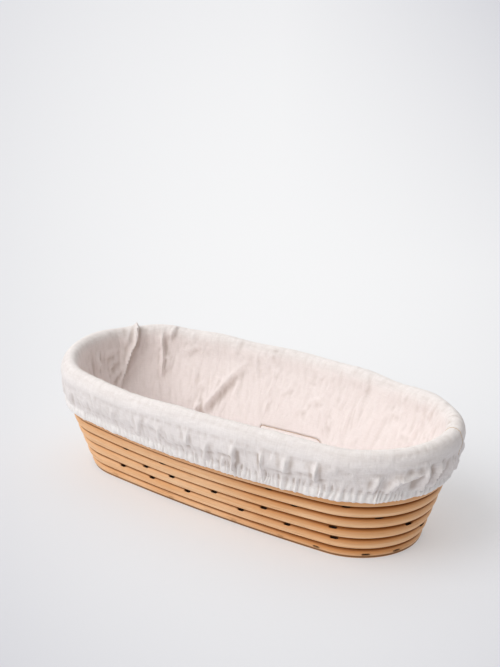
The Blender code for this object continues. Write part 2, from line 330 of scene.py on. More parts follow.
@dataclass(frozen=True)
class WallOval:
    """Centreline of the coiled wall: an oval of four arcs at every height, which grows with height.

    Arcs are counted 0 to 1 round the +X end, 1 to 2 along the back, 2 to 3 round the -X end and 3 to 4
    along the front. An end's radius is the half-width less the bow, and the sides meet the ends at a tangent.
    The -X end stands further out at the foot by end_push and further in at the rim by end_draw.
    """

    foot_height: float = 0.00376
    half_length: float = 0.1405
    half_width: float = 0.0450
    side_bow: float = 0.0042
    end_flare: float = 0.352
    side_flare: float = 0.418
    bow_flare: float = 0.091
    middle_height: float = 0.055
    end_push: float = 0.0042
    end_draw: float = 0.0045
    draw_heights: Ramp = Ramp(0.046, 0.088)
    draw_reach: Ramp = Ramp(-0.07, -0.16)

    @property
    def flare(self) -> float:
        """Mean flare of the wall."""
        return 0.5 * (self.end_flare + self.side_flare)

    def arcs(self, height: Value, offset: Value) -> tuple[Array, ...]:
        """End radius, end centre, half-width, side radius and meeting angle at a height, moved out."""
        rise = np.asarray(height, float) - self.foot_height
        width = self.half_width + self.side_flare * rise + offset
        bow = self.side_bow + self.bow_flare * rise
        end = width - bow
        centre = self.half_length + self.end_flare * rise + offset - end
        side = (centre**2 + width**2 - end**2) / (2.0 * bow)
        return end, centre, width, side, np.arctan2(side - width, centre)

    def place(self, arc: Array, height: Value, offset: Value = 0.0) -> tuple[Array, Array]:
        """Level places and outward directions.

        Args:
            arc: Where round the oval, counted in arcs.
            height: Height whose outline is used.
            offset: How far the outline is moved out.

        Returns:
            Points and outward unit vectors, each of shape (..., 2).
        """
        arc, height, offset = np.broadcast_arrays(arc, height, offset)
        end, centre, width, side, meeting = self.arcs(height, offset)
        number = np.floor(arc).astype(int) % 4
        share = arc - np.floor(arc)
        on_end = number % 2 == 0
        angle = np.where(on_end, meeting * (2 * share - 1), meeting + (math.pi - 2 * meeting) * share)
        x = np.where(on_end, centre + end * np.cos(angle), side * np.cos(angle))
        y = np.where(on_end, end * np.sin(angle), width - side + side * np.sin(angle))
        sign = np.where(number >= 2, -1.0, 1.0)[..., None]
        points = sign * np.stack((x, y), -1)
        shift = (self.end_draw + self.end_push) * self.draw_heights.at(height) - self.end_push
        points[..., 0] += shift * self.draw_reach.at(points[..., 0])
        return points, sign * np.stack((np.cos(angle), np.sin(angle)), -1)

    def spot(self, arc: Array, height: Value, offset: Value = 0.0) -> Array:
        """Points of the wall's centreline, moved out by an offset, with their height."""
        level, _ = self.place(arc, height, offset)
        return np.concatenate((level, np.broadcast_to(height, level.shape[:-1])[..., None]), -1)

    def girth(self) -> Pair:
        """Lengths of one end arc and one side arc at the wall's middle height."""
        end, _, _, side, meeting = self.arcs(self.middle_height, 0.0)
        return float(2 * meeting * end), float((math.pi - 2 * meeting) * side)

    @property
    def around(self) -> float:
        """Distance once round the wall at its middle height."""
        return 2.0 * sum(self.girth())

    def arc_at(self, distance: Value) -> Array:
        """Arc place at a distance along the wall's middle height, from the middle of the back towards -X."""
        end, side = self.girth()
        steps = np.cumsum((0.0, side / 2, end, side, end, side / 2))
        return np.interp(np.mod(distance, self.around), steps, (1.5, 2.0, 3.0, 4.0, 5.0, 5.5))


# Shader building


class Sheet:
    """Adds nodes to a tree, and links or sets their inputs."""

    def __init__(self, tree: Tree) -> None:
        """Starts on a tree."""
        self.tree = tree

    def node(self, kind: str, inputs: dict | None = None, **settings) -> Node:
        """A node with its settings, and its inputs linked or set.

        Args:
            kind: Node type.
            inputs: Sockets or values by input name or number.
            **settings: Properties of the node.

        Returns:
            The node.
        """
        made = self.tree.nodes.new(kind)
        for name, value in settings.items():
            setattr(made, name, value)
        for key, value in (inputs or {}).items():
            self.feed(made.inputs[key], value)
        return made

    def feed(self, target: Socket, value: Socket | float | Sequence[float]) -> None:
        """Links a socket to an input, or sets the input's value."""
        if isinstance(value, Socket):
            self.tree.links.new(value, target)
        else:
            target.default_value = value

    def maths(self, operation: str, first: Socket | float, second: Socket | float = 0.0) -> Socket:
        """Result of a Math node."""
        return self.node("ShaderNodeMath", {0: first, 1: second}, operation=operation).outputs[0]

    def weigh(self, *terms: tuple[Socket, float]) -> Socket:
        """Sum of values, each given with its weight."""
        total: Socket | float = 0.0
        for value, weight in terms:
            inputs = {0: value, 1: weight, 2: total}
            total = self.node("ShaderNodeMath", inputs, operation="MULTIPLY_ADD").outputs[0]
        return total

    def dot(self, place: Socket, axis: Sequence[float]) -> Socket:
        """How far a place or direction lies along an axis."""
        return self.node("ShaderNodeVectorMath", {0: place, 1: axis}, operation="DOT_PRODUCT").outputs[1]

    def blend(self, share: Socket, first: Socket | Colour, second: Socket | Colour) -> Socket:
        """Colour between two colours."""
        return self.node("ShaderNodeMix", {0: share, 6: first, 7: second}, data_type="RGBA").outputs[2]

    def span(self, value: Socket, low: float, high: float, first: float = 0.0, last: float = 1.0) -> Socket:
        """A value carried from one range to another, held at its ends."""
        return self.node("ShaderNodeMapRange", {0: value, 1: low, 2: high, 3: first, 4: last}).outputs[0]

    def noise(self, place: Socket, scale: Socket | float, detail: float, rough: float = 0.5) -> Socket:
        """Value of a Noise Texture."""
        inputs = {"Vector": place, "Scale": scale, "Detail": detail, "Roughness": rough}
        return self.node("ShaderNodeTexNoise", inputs).outputs[0]

    def stretch(self, place: Socket, scale: Sequence[float]) -> Socket:
        """Coordinates scaled by a different amount each way."""
        return self.node("ShaderNodeMapping", {0: place, 3: scale}).outputs[0]

    def streaks(self, place: Socket, along: float, across: float, detail: float, rough: float) -> Socket:
        """Noise with a different number of waves per metre along and across."""
        return self.noise(self.stretch(place, (along, across, 1.0)), 1.0, detail, rough)

    def group(self, tree: Tree, **inputs: Socket | float) -> dict[str, Socket]:
        """Outputs by name of a shared group, with its inputs given by name."""
        return dict(self.node("ShaderNodeGroup", inputs, node_tree=tree).outputs.items())

    def own_map(self) -> Socket:
        """Distances along and across the surface, in metres."""
        return self.node("ShaderNodeUVMap", uv_map="span").outputs[0]

    def mark(self, name: str, share: float) -> Socket:
        """A share of what is written on the surface under a name."""
        written = self.node("ShaderNodeAttribute", attribute_name=name).outputs["Fac"]
        return self.maths("MULTIPLY", written, share)


class Effects:
    """Node groups that several finishes share, each built once."""

    def __init__(self) -> None:
        """Builds the groups."""
        self.mottle = self.build_mottle()
        self.weave = self.build_weave()
        self.crinkle = self.build_crinkle()
        self.fibres = self.build_fibres()

    @staticmethod
    def start(name: str, values: Sequence[str], outputs: Sequence[str]) -> tuple[Sheet, dict, dict]:
        """An empty group with named sockets.

        Args:
            name: The group's name.
            values: Names of the inputs beside the place, all plain values.
            outputs: Names of the outputs, all plain values.

        Returns:
            The group's sheet, its inputs inside, and its outputs inside.
        """
        tree = bpy.data.node_groups.new(name, "ShaderNodeTree")
        tree.interface.new_socket("Place", in_out="INPUT", socket_type="NodeSocketVector")
        for way, labels in (("INPUT", values), ("OUTPUT", outputs)):
            for label in labels:
                tree.interface.new_socket(label, in_out=way, socket_type="NodeSocketFloat")
        sheet = Sheet(tree)
        entry = sheet.node("NodeGroupInput")
        leave = sheet.node("NodeGroupOutput")
        return sheet, dict(entry.outputs.items()), dict(leave.inputs.items())

    def build_mottle(self) -> Tree:
        """Slow drift of tone over a surface, from 0 to 1."""
        sheet, given, out = self.start("mottle", ["Scale"], ["Tone"])
        coarse = sheet.noise(given["Place"], given["Scale"], 3.0)
        sheet.feed(out["Tone"], sheet.span(coarse, 0.32, 0.68))
        return sheet.tree

    def build_weave(self) -> Tree:
        """Plain weave: round threads both ways, over and under by turns, with thick and thin yarns."""
        sheet, given, out = self.start("plain_weave", ["Threads"], ["Height", "Slub"])
        split = sheet.node("ShaderNodeSeparateXYZ", {0: given["Place"]}).outputs
        rounds, parity = [], 0.0
        for axis in range(2):
            count = sheet.maths("MULTIPLY", split[axis], given["Threads"])
            wave = sheet.maths("SINE", sheet.maths("MULTIPLY", count, math.pi))
            rounds.append(sheet.maths("ABSOLUTE", wave))
            parity = sheet.maths("ADD", sheet.maths("FLOOR", count), parity)
        over = sheet.maths("MODULO", sheet.maths("ABSOLUTE", parity), 2.0)
        under = sheet.maths("SUBTRACT", 1.0, over)
        low = 0.55
        warp = sheet.maths("MULTIPLY", rounds[0], sheet.span(over, 0.0, 1.0, low, 1.0))
        weft = sheet.maths("MULTIPLY", rounds[1], sheet.span(under, 0.0, 1.0, low, 1.0))
        long, short = 170.0, 1100.0
        yarns = [sheet.streaks(given["Place"], *ways, 3.0, 0.6) for ways in ((long, short), (short, long))]
        slub = sheet.span(sheet.maths("ADD", *yarns), 0.70, 1.30)
        sheet.feed(out["Height"], sheet.weigh((sheet.maths("MAXIMUM", warp, weft), 0.45), (slub, 1.0)))
        sheet.feed(out["Slub"], slub)
        return sheet.tree

    def build_crinkle(self) -> Tree:
        """Small creases of washed cloth, longer across than along the wall."""
        sheet, given, out = self.start("crinkle", [], ["Height"])
        coarse = sheet.streaks(given["Place"], 125.0, 85.0, 3.0, 0.6)
        fine = sheet.streaks(given["Place"], 430.0, 250.0, 3.0, 0.6)
        sheet.feed(out["Height"], sheet.weigh((coarse, 0.62), (fine, 0.38)))
        return sheet.tree

    def build_fibres(self) -> Tree:
        """Long fibres and short dark pores that run along a cane."""
        sheet, given, out = self.start("fibres", [], ["Streak", "Pore"])
        broad = sheet.streaks(given["Place"], 16.0, 620.0, 5.0, 0.70)
        fine = sheet.streaks(given["Place"], 40.0, 1900.0, 2.0, 0.5)
        sheet.feed(out["Streak"], sheet.span(broad, 0.30, 0.70))
        sheet.feed(out["Pore"], sheet.span(fine, 0.60, 0.74))
        return sheet.tree


@dataclass(frozen=True)
class Finish:
    """What every finish has: a name, its least roughness, how much rougher its dark parts are, its bump."""

    name: str
    roughness: float
    rougher: float = 0.12
    bump: float = 0.4
    relief: float = 0.0001

    def begin(self) -> tuple[Material, Sheet, Node]:
        """A material, its sheet and its shader node."""
        material = bpy.data.materials.new(self.name)
        material.use_nodes = True
        shader = material.node_tree.nodes["Principled BSDF"]
        shader.inputs["Roughness"].default_value = self.roughness
        return material, Sheet(material.node_tree), shader

    def roughen(self, sheet: Sheet, shader: Node, tone: Socket) -> None:
        """Makes the surface rougher where a tone is dark."""
        rough = sheet.span(tone, 0.0, 1.0, self.roughness + self.rougher, self.roughness)
        sheet.feed(shader.inputs["Roughness"], rough)

    def emboss(self, sheet: Sheet, shader: Node, height: Socket) -> None:
        """Raises the surface by a height."""
        inputs = {"Height": height, "Strength": self.bump, "Distance": self.relief}
        sheet.feed(shader.inputs["Normal"], sheet.node("ShaderNodeBump", inputs).outputs[0])


@dataclass(frozen=True)
class CaneFinish(Finish):
    """Peeled rattan: pale tan with long fibres and short pores, and painted shade under the rows, in the
    seams and in the slots.
    """

    name: str = "peeled_rattan"
    roughness: float = 0.42
    rougher: float = 0.14
    bump: float = 0.5
    relief: float = 0.00012
    specular: float = 0.08
    pale: Colour = (0.990, 0.705, 0.455, 1.0)
    deep: Colour = (0.830, 0.435, 0.190, 1.0)
    pore: Colour = (0.260, 0.095, 0.027, 1.0)
    # Painted shade: brown on the upper part of each row under the row above, and on the rows under the
    # skirt's hem
    painted_shade: Colour = (0.530, 0.178, 0.028, 1.0)
    # Painted shade in the seams between rows and along the foot where the cane meets the floor
    seam: Colour = (0.215, 0.068, 0.013, 1.0)
    # Painted shade, near black, in the staple slots and along the foot's contact line
    slot: Colour = (0.018, 0.008, 0.005, 1.0)
    drift_scale: float = 11.0
    drift_stretch: Triple = (1.0, 0.6, 1.0)
    streak_share: float = 0.62
    pore_share: float = 0.5
    seam_share: float = 0.92

    def material(self, effects: Effects) -> Material:
        """The material.

        Args:
            effects: The shared node groups.

        Returns:
            A material that reads the painted shade marks "painted_shade", "seam" and "slot_shade".
        """
        material, sheet, shader = self.begin()
        shader.inputs["Specular IOR Level"].default_value = self.specular
        place = sheet.own_map()
        wide = sheet.stretch(place, self.drift_stretch)
        drift = sheet.group(effects.mottle, Place=wide, Scale=self.drift_scale)["Tone"]
        fibres = sheet.group(effects.fibres, Place=place)
        tone = sheet.weigh((fibres["Streak"], self.streak_share), (drift, 1.0 - self.streak_share))
        colour = sheet.blend(tone, self.deep, self.pale)
        # Dark pores, then painted shade under the rows, in the seams and in the slots
        for share, layer in (
            (sheet.maths("MULTIPLY", fibres["Pore"], self.pore_share), self.pore),
            (sheet.mark("painted_shade", 1.0), self.painted_shade),
            (sheet.mark("seam", self.seam_share), self.seam),
            (sheet.mark("slot_shade", 1.0), self.slot),
        ):
            colour = sheet.blend(share, colour, layer)
        sheet.feed(shader.inputs["Base Color"], colour)
        self.roughen(sheet, shader, fibres["Streak"])
        self.emboss(sheet, shader, sheet.maths("SUBTRACT", fibres["Streak"], fibres["Pore"]))
        return material


@dataclass(frozen=True)
class ClothFinish(Finish):
    """Undyed plain-weave cloth: off-white, matte, with uneven yarns, and painted light and shade."""

    name: str = "undyed_cloth"
    roughness: float = 0.92
    bump: float = 0.6
    relief: float = 0.0024
    sheen: float = 0.12
    sheen_roughness: float = 0.6
    light: Colour = (0.930, 0.883, 0.874, 1.0)
    shade: Colour = (0.790, 0.737, 0.719, 1.0)
    # Painted warm tint of the cloth inside the basket, standing in for the warm light there
    painted_inside_tint: Colour = (0.905, 0.805, 0.785, 1.0)
    # Painted light: the double hem is drawn lighter for the light that its ribs catch
    painted_hem_light: Colour = (0.950, 0.920, 0.905, 1.0)
    # Painted shade in the hollows and creases of the cloth
    crease: Colour = (0.460, 0.375, 0.325, 1.0)
    threads: float = 1400.0
    drift_scale: float = 38.0
    slub_share: float = 0.7
    painted_inside_tint_share: float = 0.5
    painted_hem_light_share: float = 0.8
    weave_share: float = 0.1

    def material(self, effects: Effects) -> Material:
        """The material, built on the shared weave.

        Args:
            effects: The shared node groups.

        Returns:
            A material that reads the marks "inside" (painted warm tint), "painted_hem_light" and "crease"
            (painted shade).
        """
        material, sheet, shader = self.begin()
        shader.inputs["Sheen Weight"].default_value = self.sheen
        shader.inputs["Sheen Roughness"].default_value = self.sheen_roughness
        place = sheet.own_map()
        drift = sheet.group(effects.mottle, Place=place, Scale=self.drift_scale)["Tone"]
        weave = sheet.group(effects.weave, Place=place, Threads=self.threads)
        crinkle = sheet.group(effects.crinkle, Place=place)["Height"]
        tone = sheet.weigh((weave["Slub"], self.slub_share), (drift, 1.0 - self.slub_share))
        colour = sheet.blend(tone, self.shade, self.light)
        # Painted warm tint inside, painted light on the hem, and painted shade in the hollows
        for share, layer in (
            (sheet.mark("inside", self.painted_inside_tint_share), self.painted_inside_tint),
            (sheet.mark("painted_hem_light", self.painted_hem_light_share), self.painted_hem_light),
            (sheet.mark("crease", 1.0), self.crease),
        ):
            colour = sheet.blend(share, colour, layer)
        sheet.feed(shader.inputs["Base Color"], colour)
        self.emboss(sheet, shader, sheet.weigh((crinkle, 1.0), (weave["Height"], self.weave_share)))
        return material


@dataclass(frozen=True)
class PlainFinish(Finish):
    """A finish whose colour drifts between two tones: wire, thread."""

    light: Colour = (0.5, 0.5, 0.5, 1.0)
    shade: Colour = (0.4, 0.4, 0.4, 1.0)
    metallic: float = 0.0
    grain: float = 900.0

    def material(self, effects: Effects) -> Material:
        """The material, mottled on Object coordinates.

        Args:
            effects: The shared node groups.

        Returns:
            The material.
        """
        material, sheet, shader = self.begin()
        shader.inputs["Metallic"].default_value = self.metallic
        place = sheet.node("ShaderNodeTexCoord").outputs["Object"]
        drift = sheet.group(effects.mottle, Place=place, Scale=self.grain)["Tone"]
        sheet.feed(shader.inputs["Base Color"], sheet.blend(drift, self.shade, self.light))
        self.roughen(sheet, shader, drift)
        self.emboss(sheet, shader, drift)
        return material


def settle(
    piece: Piece, body: Body, slot: Slot, material: Material, *nodes: str
) -> Piece:
    """Dresses a piece, sets what it rides on, and hides the CAD nodes that it stands for.

    Args:
        piece: The finished piece.
        body: The body it moves with.
        slot: The record's material slot; not used.
        material: Its finish.
        *nodes: CAD nodes that it stands for.

    Returns:
        The piece.
    """
    piece.data.materials.append(material)
    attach(piece, body.value)
    if nodes:
        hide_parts(*nodes)
    LOG.info("%s on %s, %d faces", piece.name, body.value, len(piece.data.polygons))
    return piece


# Coiled cane


@dataclass(frozen=True)
class StapleSizes:
    """A wire staple and the slot that it is driven into.

    Pairs of values are for rows 2 to 3 and for row 4 upwards. A slot's outline is a rounded oblong.
    """

    wire: float = 0.0010
    crown: float = 0.0052
    leg: float = 0.0110
    corner: float = 0.0007
    tilt: float = math.radians(20)
    sink: float = 0.0015
    foot_sink: float = 0.0012
    wall_offsets: Pair = (0.00252, 0.00206)
    foot_offset: float = 0.0008
    slot_half_length: float = 0.0025
    slot_half_height: float = 0.00080
    slot_drops: Pair = (math.radians(8), math.radians(4))
    slot_depth: float = 0.0026
    slot_edge: float = 0.0002
    slot_squareness: float = 3.0
    slot_rim: float = 1.12
    slot_fade: float = 0.14
    foot_depth: float = 0.55
    faint_depth: float = 0.4


@dataclass(frozen=True)
class CaneTones:
    """Where shade is painted on a cane: under the row above, in the seams, at the foot, under the hem and in
    the slots.

    Angles are in degrees round the cane, from outward towards the row above. The +X end, and its front most,
    gets more painted shade, and the painted seam shade there is wider by seam_spread.
    """

    # Painted seam shade above and below each row
    upper_seam: Ramp = Ramp(41.0, 57.0)
    seam_spread: Pair = (10.0, 4.0)
    lower_seam: Ramp = Ramp(-54.0, -70.0)
    lower_height: float = 0.8
    # Painted contact shadow along the foot: where it fades, its least height, and its share painted near
    # black
    contact_shadow: Ramp = Ramp(0.0026, 0.0014)
    contact_least: float = 0.0001
    contact_shadow_black: float = 0.5
    towards_end: Ramp = Ramp(-0.02, 0.12)
    towards_front: Ramp = Ramp(0.01, -0.04)
    back_share: float = 0.3
    # Painted shade under the row above, more at the +X end, and painted shadow on the rows under the skirt's
    # hem
    painted_shade_side: Ramp = Ramp(-18.0, 42.0)
    painted_shade: float = 0.22
    end_painted_shade: float = 0.52
    hem_shadow_heights: Plateau = Plateau(0.0435, 0.0495, 0.0585, 0.0645)
    hem_painted_shade: float = 0.40
    bare_rows: Ramp = Ramp(-1.6, -1.2)
    faint: float = 0.8
    faint_reach: Ramp = Ramp(0.10, 0.06)


@dataclass
class Coil:
    """One coiled cane wall, with the floor coil inside its foot.

    A winding is counted in arcs from three quarters along the back: each row is level for three and a half
    arcs, then steps up to the next row over half an arc.
    """

    oval: WallOval
    finish: Material
    wire_finish: Material
    staple: StapleSizes = field(default_factory=StapleSizes)
    tones: CaneTones = field(default_factory=CaneTones)
    diameter: float = 0.0094
    row_gap: float = 0.00057
    rows: int = 9
    lower_rows: int = 5
    floor_gap: float = 0.0007
    floor_loops: int = 3
    touch_gap: float = 0.00004
    start_arc: float = 1.75
    level_arcs: float = 3.5
    splice_arcs: float = 3.375
    splice_gap: float = 0.0004
    taper_arcs: float = 0.25
    tip_share: float = 0.34
    core_rounding: float = 0.003
    squareness: float = 3.0
    waver: float = 0.00010
    upper_staple_pitch: float = 0.072
    upper_staple_stagger: Pair = (0.2, 0.38)
    station_step: float = 0.0165
    station_clear: float = 0.002
    floor_step: float = 1.6
    base_sides: int = 26
    side_clear: float = 0.04
    slot_clear: float = 0.012
    nudge: float = 1e-4

    @property
    def rise(self) -> float:
        """Rise from row to row, which leaves the gap between rows on the slant."""
        return (self.diameter + self.row_gap) / math.hypot(1.0, self.oval.end_flare)

    @property
    def coil_end(self) -> float:
        """Winding at the tip of the wall's coil."""
        return ARCS * (self.rows - 1) + self.level_arcs + self.taper_arcs

    def rounds(self, winding: Array, count: int) -> tuple[Array, Array]:
        """Rounds finished by a coil, with the part of a smooth step to the next one, and the oval's arc."""
        whole = np.clip(np.floor(winding / ARCS), 0, count - 1)
        part = winding - ARCS * whole
        step = Ramp(self.level_arcs, ARCS).at(part) * (whole < count - 1)
        return whole + step, self.start_arc + part

    def wall_course(self, winding: Array) -> tuple[Array, Array, Array]:
        """Centreline of the wall's coil.

        Args:
            winding: Arcs wound since the start of the bottom row.

        Returns:
            Points, directions up the wall, and half the distance to the next row.
        """
        climbed, arc = self.rounds(winding, self.rows)
        height = self.oval.foot_height + self.rise * climbed
        points = self.oval.spot(arc, height)
        up = self.oval.spot(arc, height + self.rise) - points
        return points, unit(up), np.linalg.norm(up, axis=1) / 2 - self.touch_gap

    def floor_course(self, winding: Array) -> tuple[Array, Array, Array]:
        """Centreline of the floor's coil from its inner loop: as the wall's, but stepping out, not up."""
        climbed, arc = self.rounds(winding, self.floor_loops)
        pitch = self.diameter + self.floor_gap
        level, outward = self.oval.place(arc, self.oval.foot_height, pitch * (climbed - self.floor_loops))
        points = np.column_stack((level, np.full(len(level), self.oval.foot_height)))
        out = np.column_stack((outward, np.zeros(len(level))))
        return points, out, np.full(len(level), pitch / 2 - self.touch_gap)

    @staticmethod
    def squared(tangent: Array, climb: Array) -> tuple[Array, Array]:
        """Outward and climbing directions, square to a tangent and to each other."""
        outward = unit(np.cross(tangent, climb))
        return outward, np.cross(outward, tangent)

    def velocity(self, winding: Array) -> Array:
        """Metres moved along the wall's coil per arc of winding, by central difference."""
        ahead, _, _ = self.wall_course(winding + self.nudge)
        behind, _, _ = self.wall_course(winding - self.nudge)
        return (ahead - behind) / (2 * self.nudge)

    def speed(self, winding: Array) -> Array:
        """Metres of cane per arc of winding."""
        return np.linalg.norm(self.velocity(winding), axis=1)

    def staple_winding(self, row: int, node: Piece) -> float:
        """Winding nearest to a staple's CAD node, in a row counted from 1."""
        flat = np.empty(3 * len(node.data.vertices))
        node.data.vertices.foreach_get("co", flat)
        middle = flat.reshape(-1, 3).mean(axis=0)
        windings = ARCS * (row - 1) + np.linspace(0.0, ARCS, 4000, endpoint=False)
        points, _, _ = self.wall_course(windings)
        return float(windings[np.linalg.norm((points - middle)[:, :2], axis=1).argmin()])

    def upper_staples(self) -> Array:
        """Windings of the staples in the rows under the skirt, spaced evenly and staggered row by row."""
        found = []
        first, stagger = self.upper_staple_stagger
        for row in range(self.lower_rows + 1, self.rows + 1):
            reach = ARCS if row < self.rows else self.level_arcs
            line = ARCS * (row - 1) + np.linspace(0.0, reach, 2000)
            points, _, _ = self.wall_course(line)
            along = run(points)
            shift = self.upper_staple_pitch * (first + stagger * (row % 3))
            found.append(np.interp(np.arange(shift, along[-1], self.upper_staple_pitch), along, line))
        return np.concatenate(found)

    @staticmethod
    def slot_band(winding: Array) -> Array:
        """Which slots are used at a winding: 0 in row 1, 1 in rows 2 and 3, and 2 from row 4."""
        return np.digitize(winding, (ARCS, 3 * ARCS))

    def seats(self, winding: Array) -> tuple[Array, Array, Array]:
        """Where staples sit on the coil.

        Args:
            winding: Their places along the coil.

        Returns:
            Crown middles on the cane's surface, directions along the cane, and directions out of the slots.
        """
        centre, climb, radius = self.wall_course(winding)
        tangent = unit(self.velocity(winding))
        outward, climb = self.squared(tangent, climb)
        band = self.slot_band(winding)
        foot = (band == 0)[:, None]
        across = np.where(foot, [0.0, 0.0, -1.0], outward)
        along = np.where(foot, unit(outward * [1, 1, 0]), climb)
        offset = np.asarray((self.staple.foot_offset, *self.staple.wall_offsets))[band][:, None]
        depth = np.sqrt(radius[:, None] ** 2 - offset**2)
        out = math.cos(self.staple.tilt) * along + math.sin(self.staple.tilt) * across
        return centre + offset * across + depth * along, tangent, out

    def slot_angles(self) -> Array:
        """Angle of each band of slots round the cane, from outward towards the row above."""
        radius = self.diameter / 2
        foot = math.atan(self.oval.flare) - math.asin(self.staple.foot_offset / radius)
        wall = np.arccos(np.asarray(self.staple.wall_offsets) / radius) - self.staple.slot_drops
        return np.append(foot, wall)

    def side_angles(self) -> Array:
        """Angles round the cane from its inner side, with extra ones at the edges of the slots."""
        radius = self.diameter / 2
        inner = self.staple.slot_half_height / radius
        outer = inner + self.staple.slot_edge / radius
        edges = np.asarray((-outer, -inner, -0.6 * inner, 0.0, 0.6 * inner, inner, outer))
        extra = np.sort((self.slot_angles()[:, None] + edges).ravel())
        extra = extra[np.concatenate(([True], np.diff(extra) > self.slot_clear))]
        base = np.linspace(-math.pi, math.pi, self.base_sides, endpoint=False)
        clear = np.abs(base[:, None] - extra[None]).min(axis=1) > self.side_clear
        return np.sort(np.concatenate((base[clear], extra)))[::-1]

    def stations(self, start: float, end: float, pits: Array) -> Array:
        """Windings at which a length of wall cane is drawn, with extra ones at the ends of its slots."""
        base = np.arange(start, end, self.station_step)
        half, edge = self.staple.slot_half_length, self.staple.slot_edge
        middle = 0.55 * half
        marks = np.asarray((-half - edge, edge - half, -middle, 0.0, middle, half - edge, half + edge))
        extra = (pits[:, None] + marks[None] / self.speed(pits)[:, None]).ravel()
        clear = np.abs(base[:, None] - extra[None]).min(axis=1) > self.station_clear
        return np.unique(np.concatenate((base[clear], extra, [end])))

    def pit_mask(self, winding: Array, angle: Array, pits: Array) -> tuple[Array, Array]:
        """How deep each point of a cane lies in a slot, 0 to 1.

        Args:
            winding: Stations along the cane.
            angle: Angles round it.
            pits: Windings of the staples.

        Returns:
            The mask, shape (stations, sides), and the nearest staple's number at each station.
        """
        sizes = self.staple
        gaps = np.abs(winding[:, None] - pits[None]) * self.speed(pits)[None]
        nearest = gaps.argmin(axis=1)
        centre = self.slot_angles()[self.slot_band(pits[nearest])]
        sideways = np.abs(angle[None] - centre[:, None]) * self.diameter / 2 / sizes.slot_half_height
        lengthways = gaps.min(axis=1)[:, None] / sizes.slot_half_length
        power = sizes.slot_squareness
        reach = (lengthways**power + sideways**power) ** (1 / power)
        return np.clip((sizes.slot_rim - reach) / sizes.slot_fade, 0.0, 1.0), nearest

    def pared(self, winding: Array) -> tuple[Array, Array, Array]:
        """The wall's coil with its two ends pared to tips that fill the steps.

        The lower tip lies on the ground and the upper one rests on the row below.

        Args:
            winding: Places along the coil.

        Returns:
            Points, directions up the wall, and the cane's radius.
        """
        points, climb, full = self.wall_course(winding)
        to_tip = np.minimum(self.taper_arcs + winding, self.coil_end - winding)
        share = np.clip(to_tip / self.taper_arcs, 0, 1)
        radius = full * (self.tip_share + (1 - self.tip_share) * share)
        below, _, _ = self.wall_course(winding - ARCS)
        resting = below[:, 2] + self.rise * (full + radius) / (2 * full)
        lying = points[:, 2] - (full - radius)
        points[:, 2] = np.where(winding > self.coil_end - self.taper_arcs, resting, lying)
        return points, climb, radius

    def wall_cane(self, name: str, start: float, end: float, pits: Array) -> Surface:
        """A length of the wall's cane: a round tube swept along the coil, with its staple slots pressed in.

        Args:
            name: The piece's name.
            start: Winding at its lower end.
            end: Winding at its upper end.
            pits: Windings of its staples.

        Returns:
            The surface.
        """
        winding = self.stations(start, end, pits)
        points, climb, radius = self.pared(winding)
        outward, climb = self.squared(unit(np.gradient(points, axis=0)), climb)
        drift = Waves(11, 14, (2, 30), 0.0).at(winding / (ARCS * self.rows))
        points = points + self.waver * drift[:, None] * outward
        angle = self.side_angles()
        sideways, upwards = np.stack((np.cos(angle), np.sin(angle))) * self.flattened(angle)
        ring = sideways[None, :, None] * outward[:, None] + upwards[None, :, None] * climb[:, None]
        skin = points[:, None] + radius[:, None, None] * ring
        mask, nearest = self.pit_mask(winding, angle, pits)
        _, _, out = self.seats(pits)
        foot_depth = self.staple.foot_depth - self.staple.faint_depth * self.faint(points)
        shallow = np.where(pits[nearest] < ARCS, foot_depth, 1.0)
        depth = shallow[:, None] * self.staple.slot_depth * mask
        skin -= depth[..., None] * out[nearest][:, None]
        return self.skinned(name, skin, points, angle, mask)

    def faint(self, points: Array) -> Array:
        """How far the slots along a course are paled: those in the bottom row, but for the +X end."""
        return self.tones.faint * (points[:, 2] < self.diameter) * self.tones.faint_reach.at(points[:, 0])

    def flattened(self, angle: Array) -> Array:
        """Radius over a circle's at angles from outward: a superellipse on the sanded outer face."""
        power = self.squareness
        square = (np.abs(np.cos(angle)) ** power + np.abs(np.sin(angle)) ** power) ** (-1.0 / power)
        return np.where(np.cos(angle) > 0, square, 1.0)

    def skinned(
        self, name: str, skin: Array, points: Array, angle: Array, mask: Value = 0.0
    ) -> Surface:
        """A cane's surface, cut flat where it stands, with its map and the painted shade written on it for
        its finish.

        Args:
            name: The piece's name.
            skin: The cane's surface, shape (stations, sides, 3).
            points: Its centreline.
            angle: Angles round it, from outward.
            mask: How deep each point lies in a slot.

        Returns:
            The surface, marked "painted_shade" under the row above and the hem, "seam" where rows meet or
            the cane stands, and "slot_shade" in the slots and along the foot: all of it painted shade.
        """
        skin[..., 2] = np.maximum(skin[..., 2], 0.0)
        tones = self.tones
        x, y, z = np.moveaxis(skin, -1, 0)
        turn = np.degrees(np.arcsin(np.sin(angle)))
        rows = (points[:, 2] - self.oval.foot_height) / self.rise - self.rows
        joined = 1.0 - tones.bare_rows.at(rows)[:, None]
        front = tones.back_share + (1.0 - tones.back_share) * tones.towards_front.at(y)
        right = tones.towards_end.at(x) * front
        # Painted shade: in the seams, wider at the +X end; at the foot where the cane stands; under the row
        # above and under the hem; near black in the slots
        wider, higher = tones.seam_spread
        upper = Ramp(tones.upper_seam.start - wider * right, tones.upper_seam.end - higher * right).at(turn)
        lower = tones.lower_seam.at(turn) * (points[:, 2] > tones.lower_height * self.diameter)[:, None]
        contact_shadow = tones.contact_shadow.at(z) * (z > tones.contact_least) * (np.cos(angle) > 0)
        painted_shade = (tones.painted_shade + tones.end_painted_shade * right) * tones.painted_shade_side.at(turn) * joined
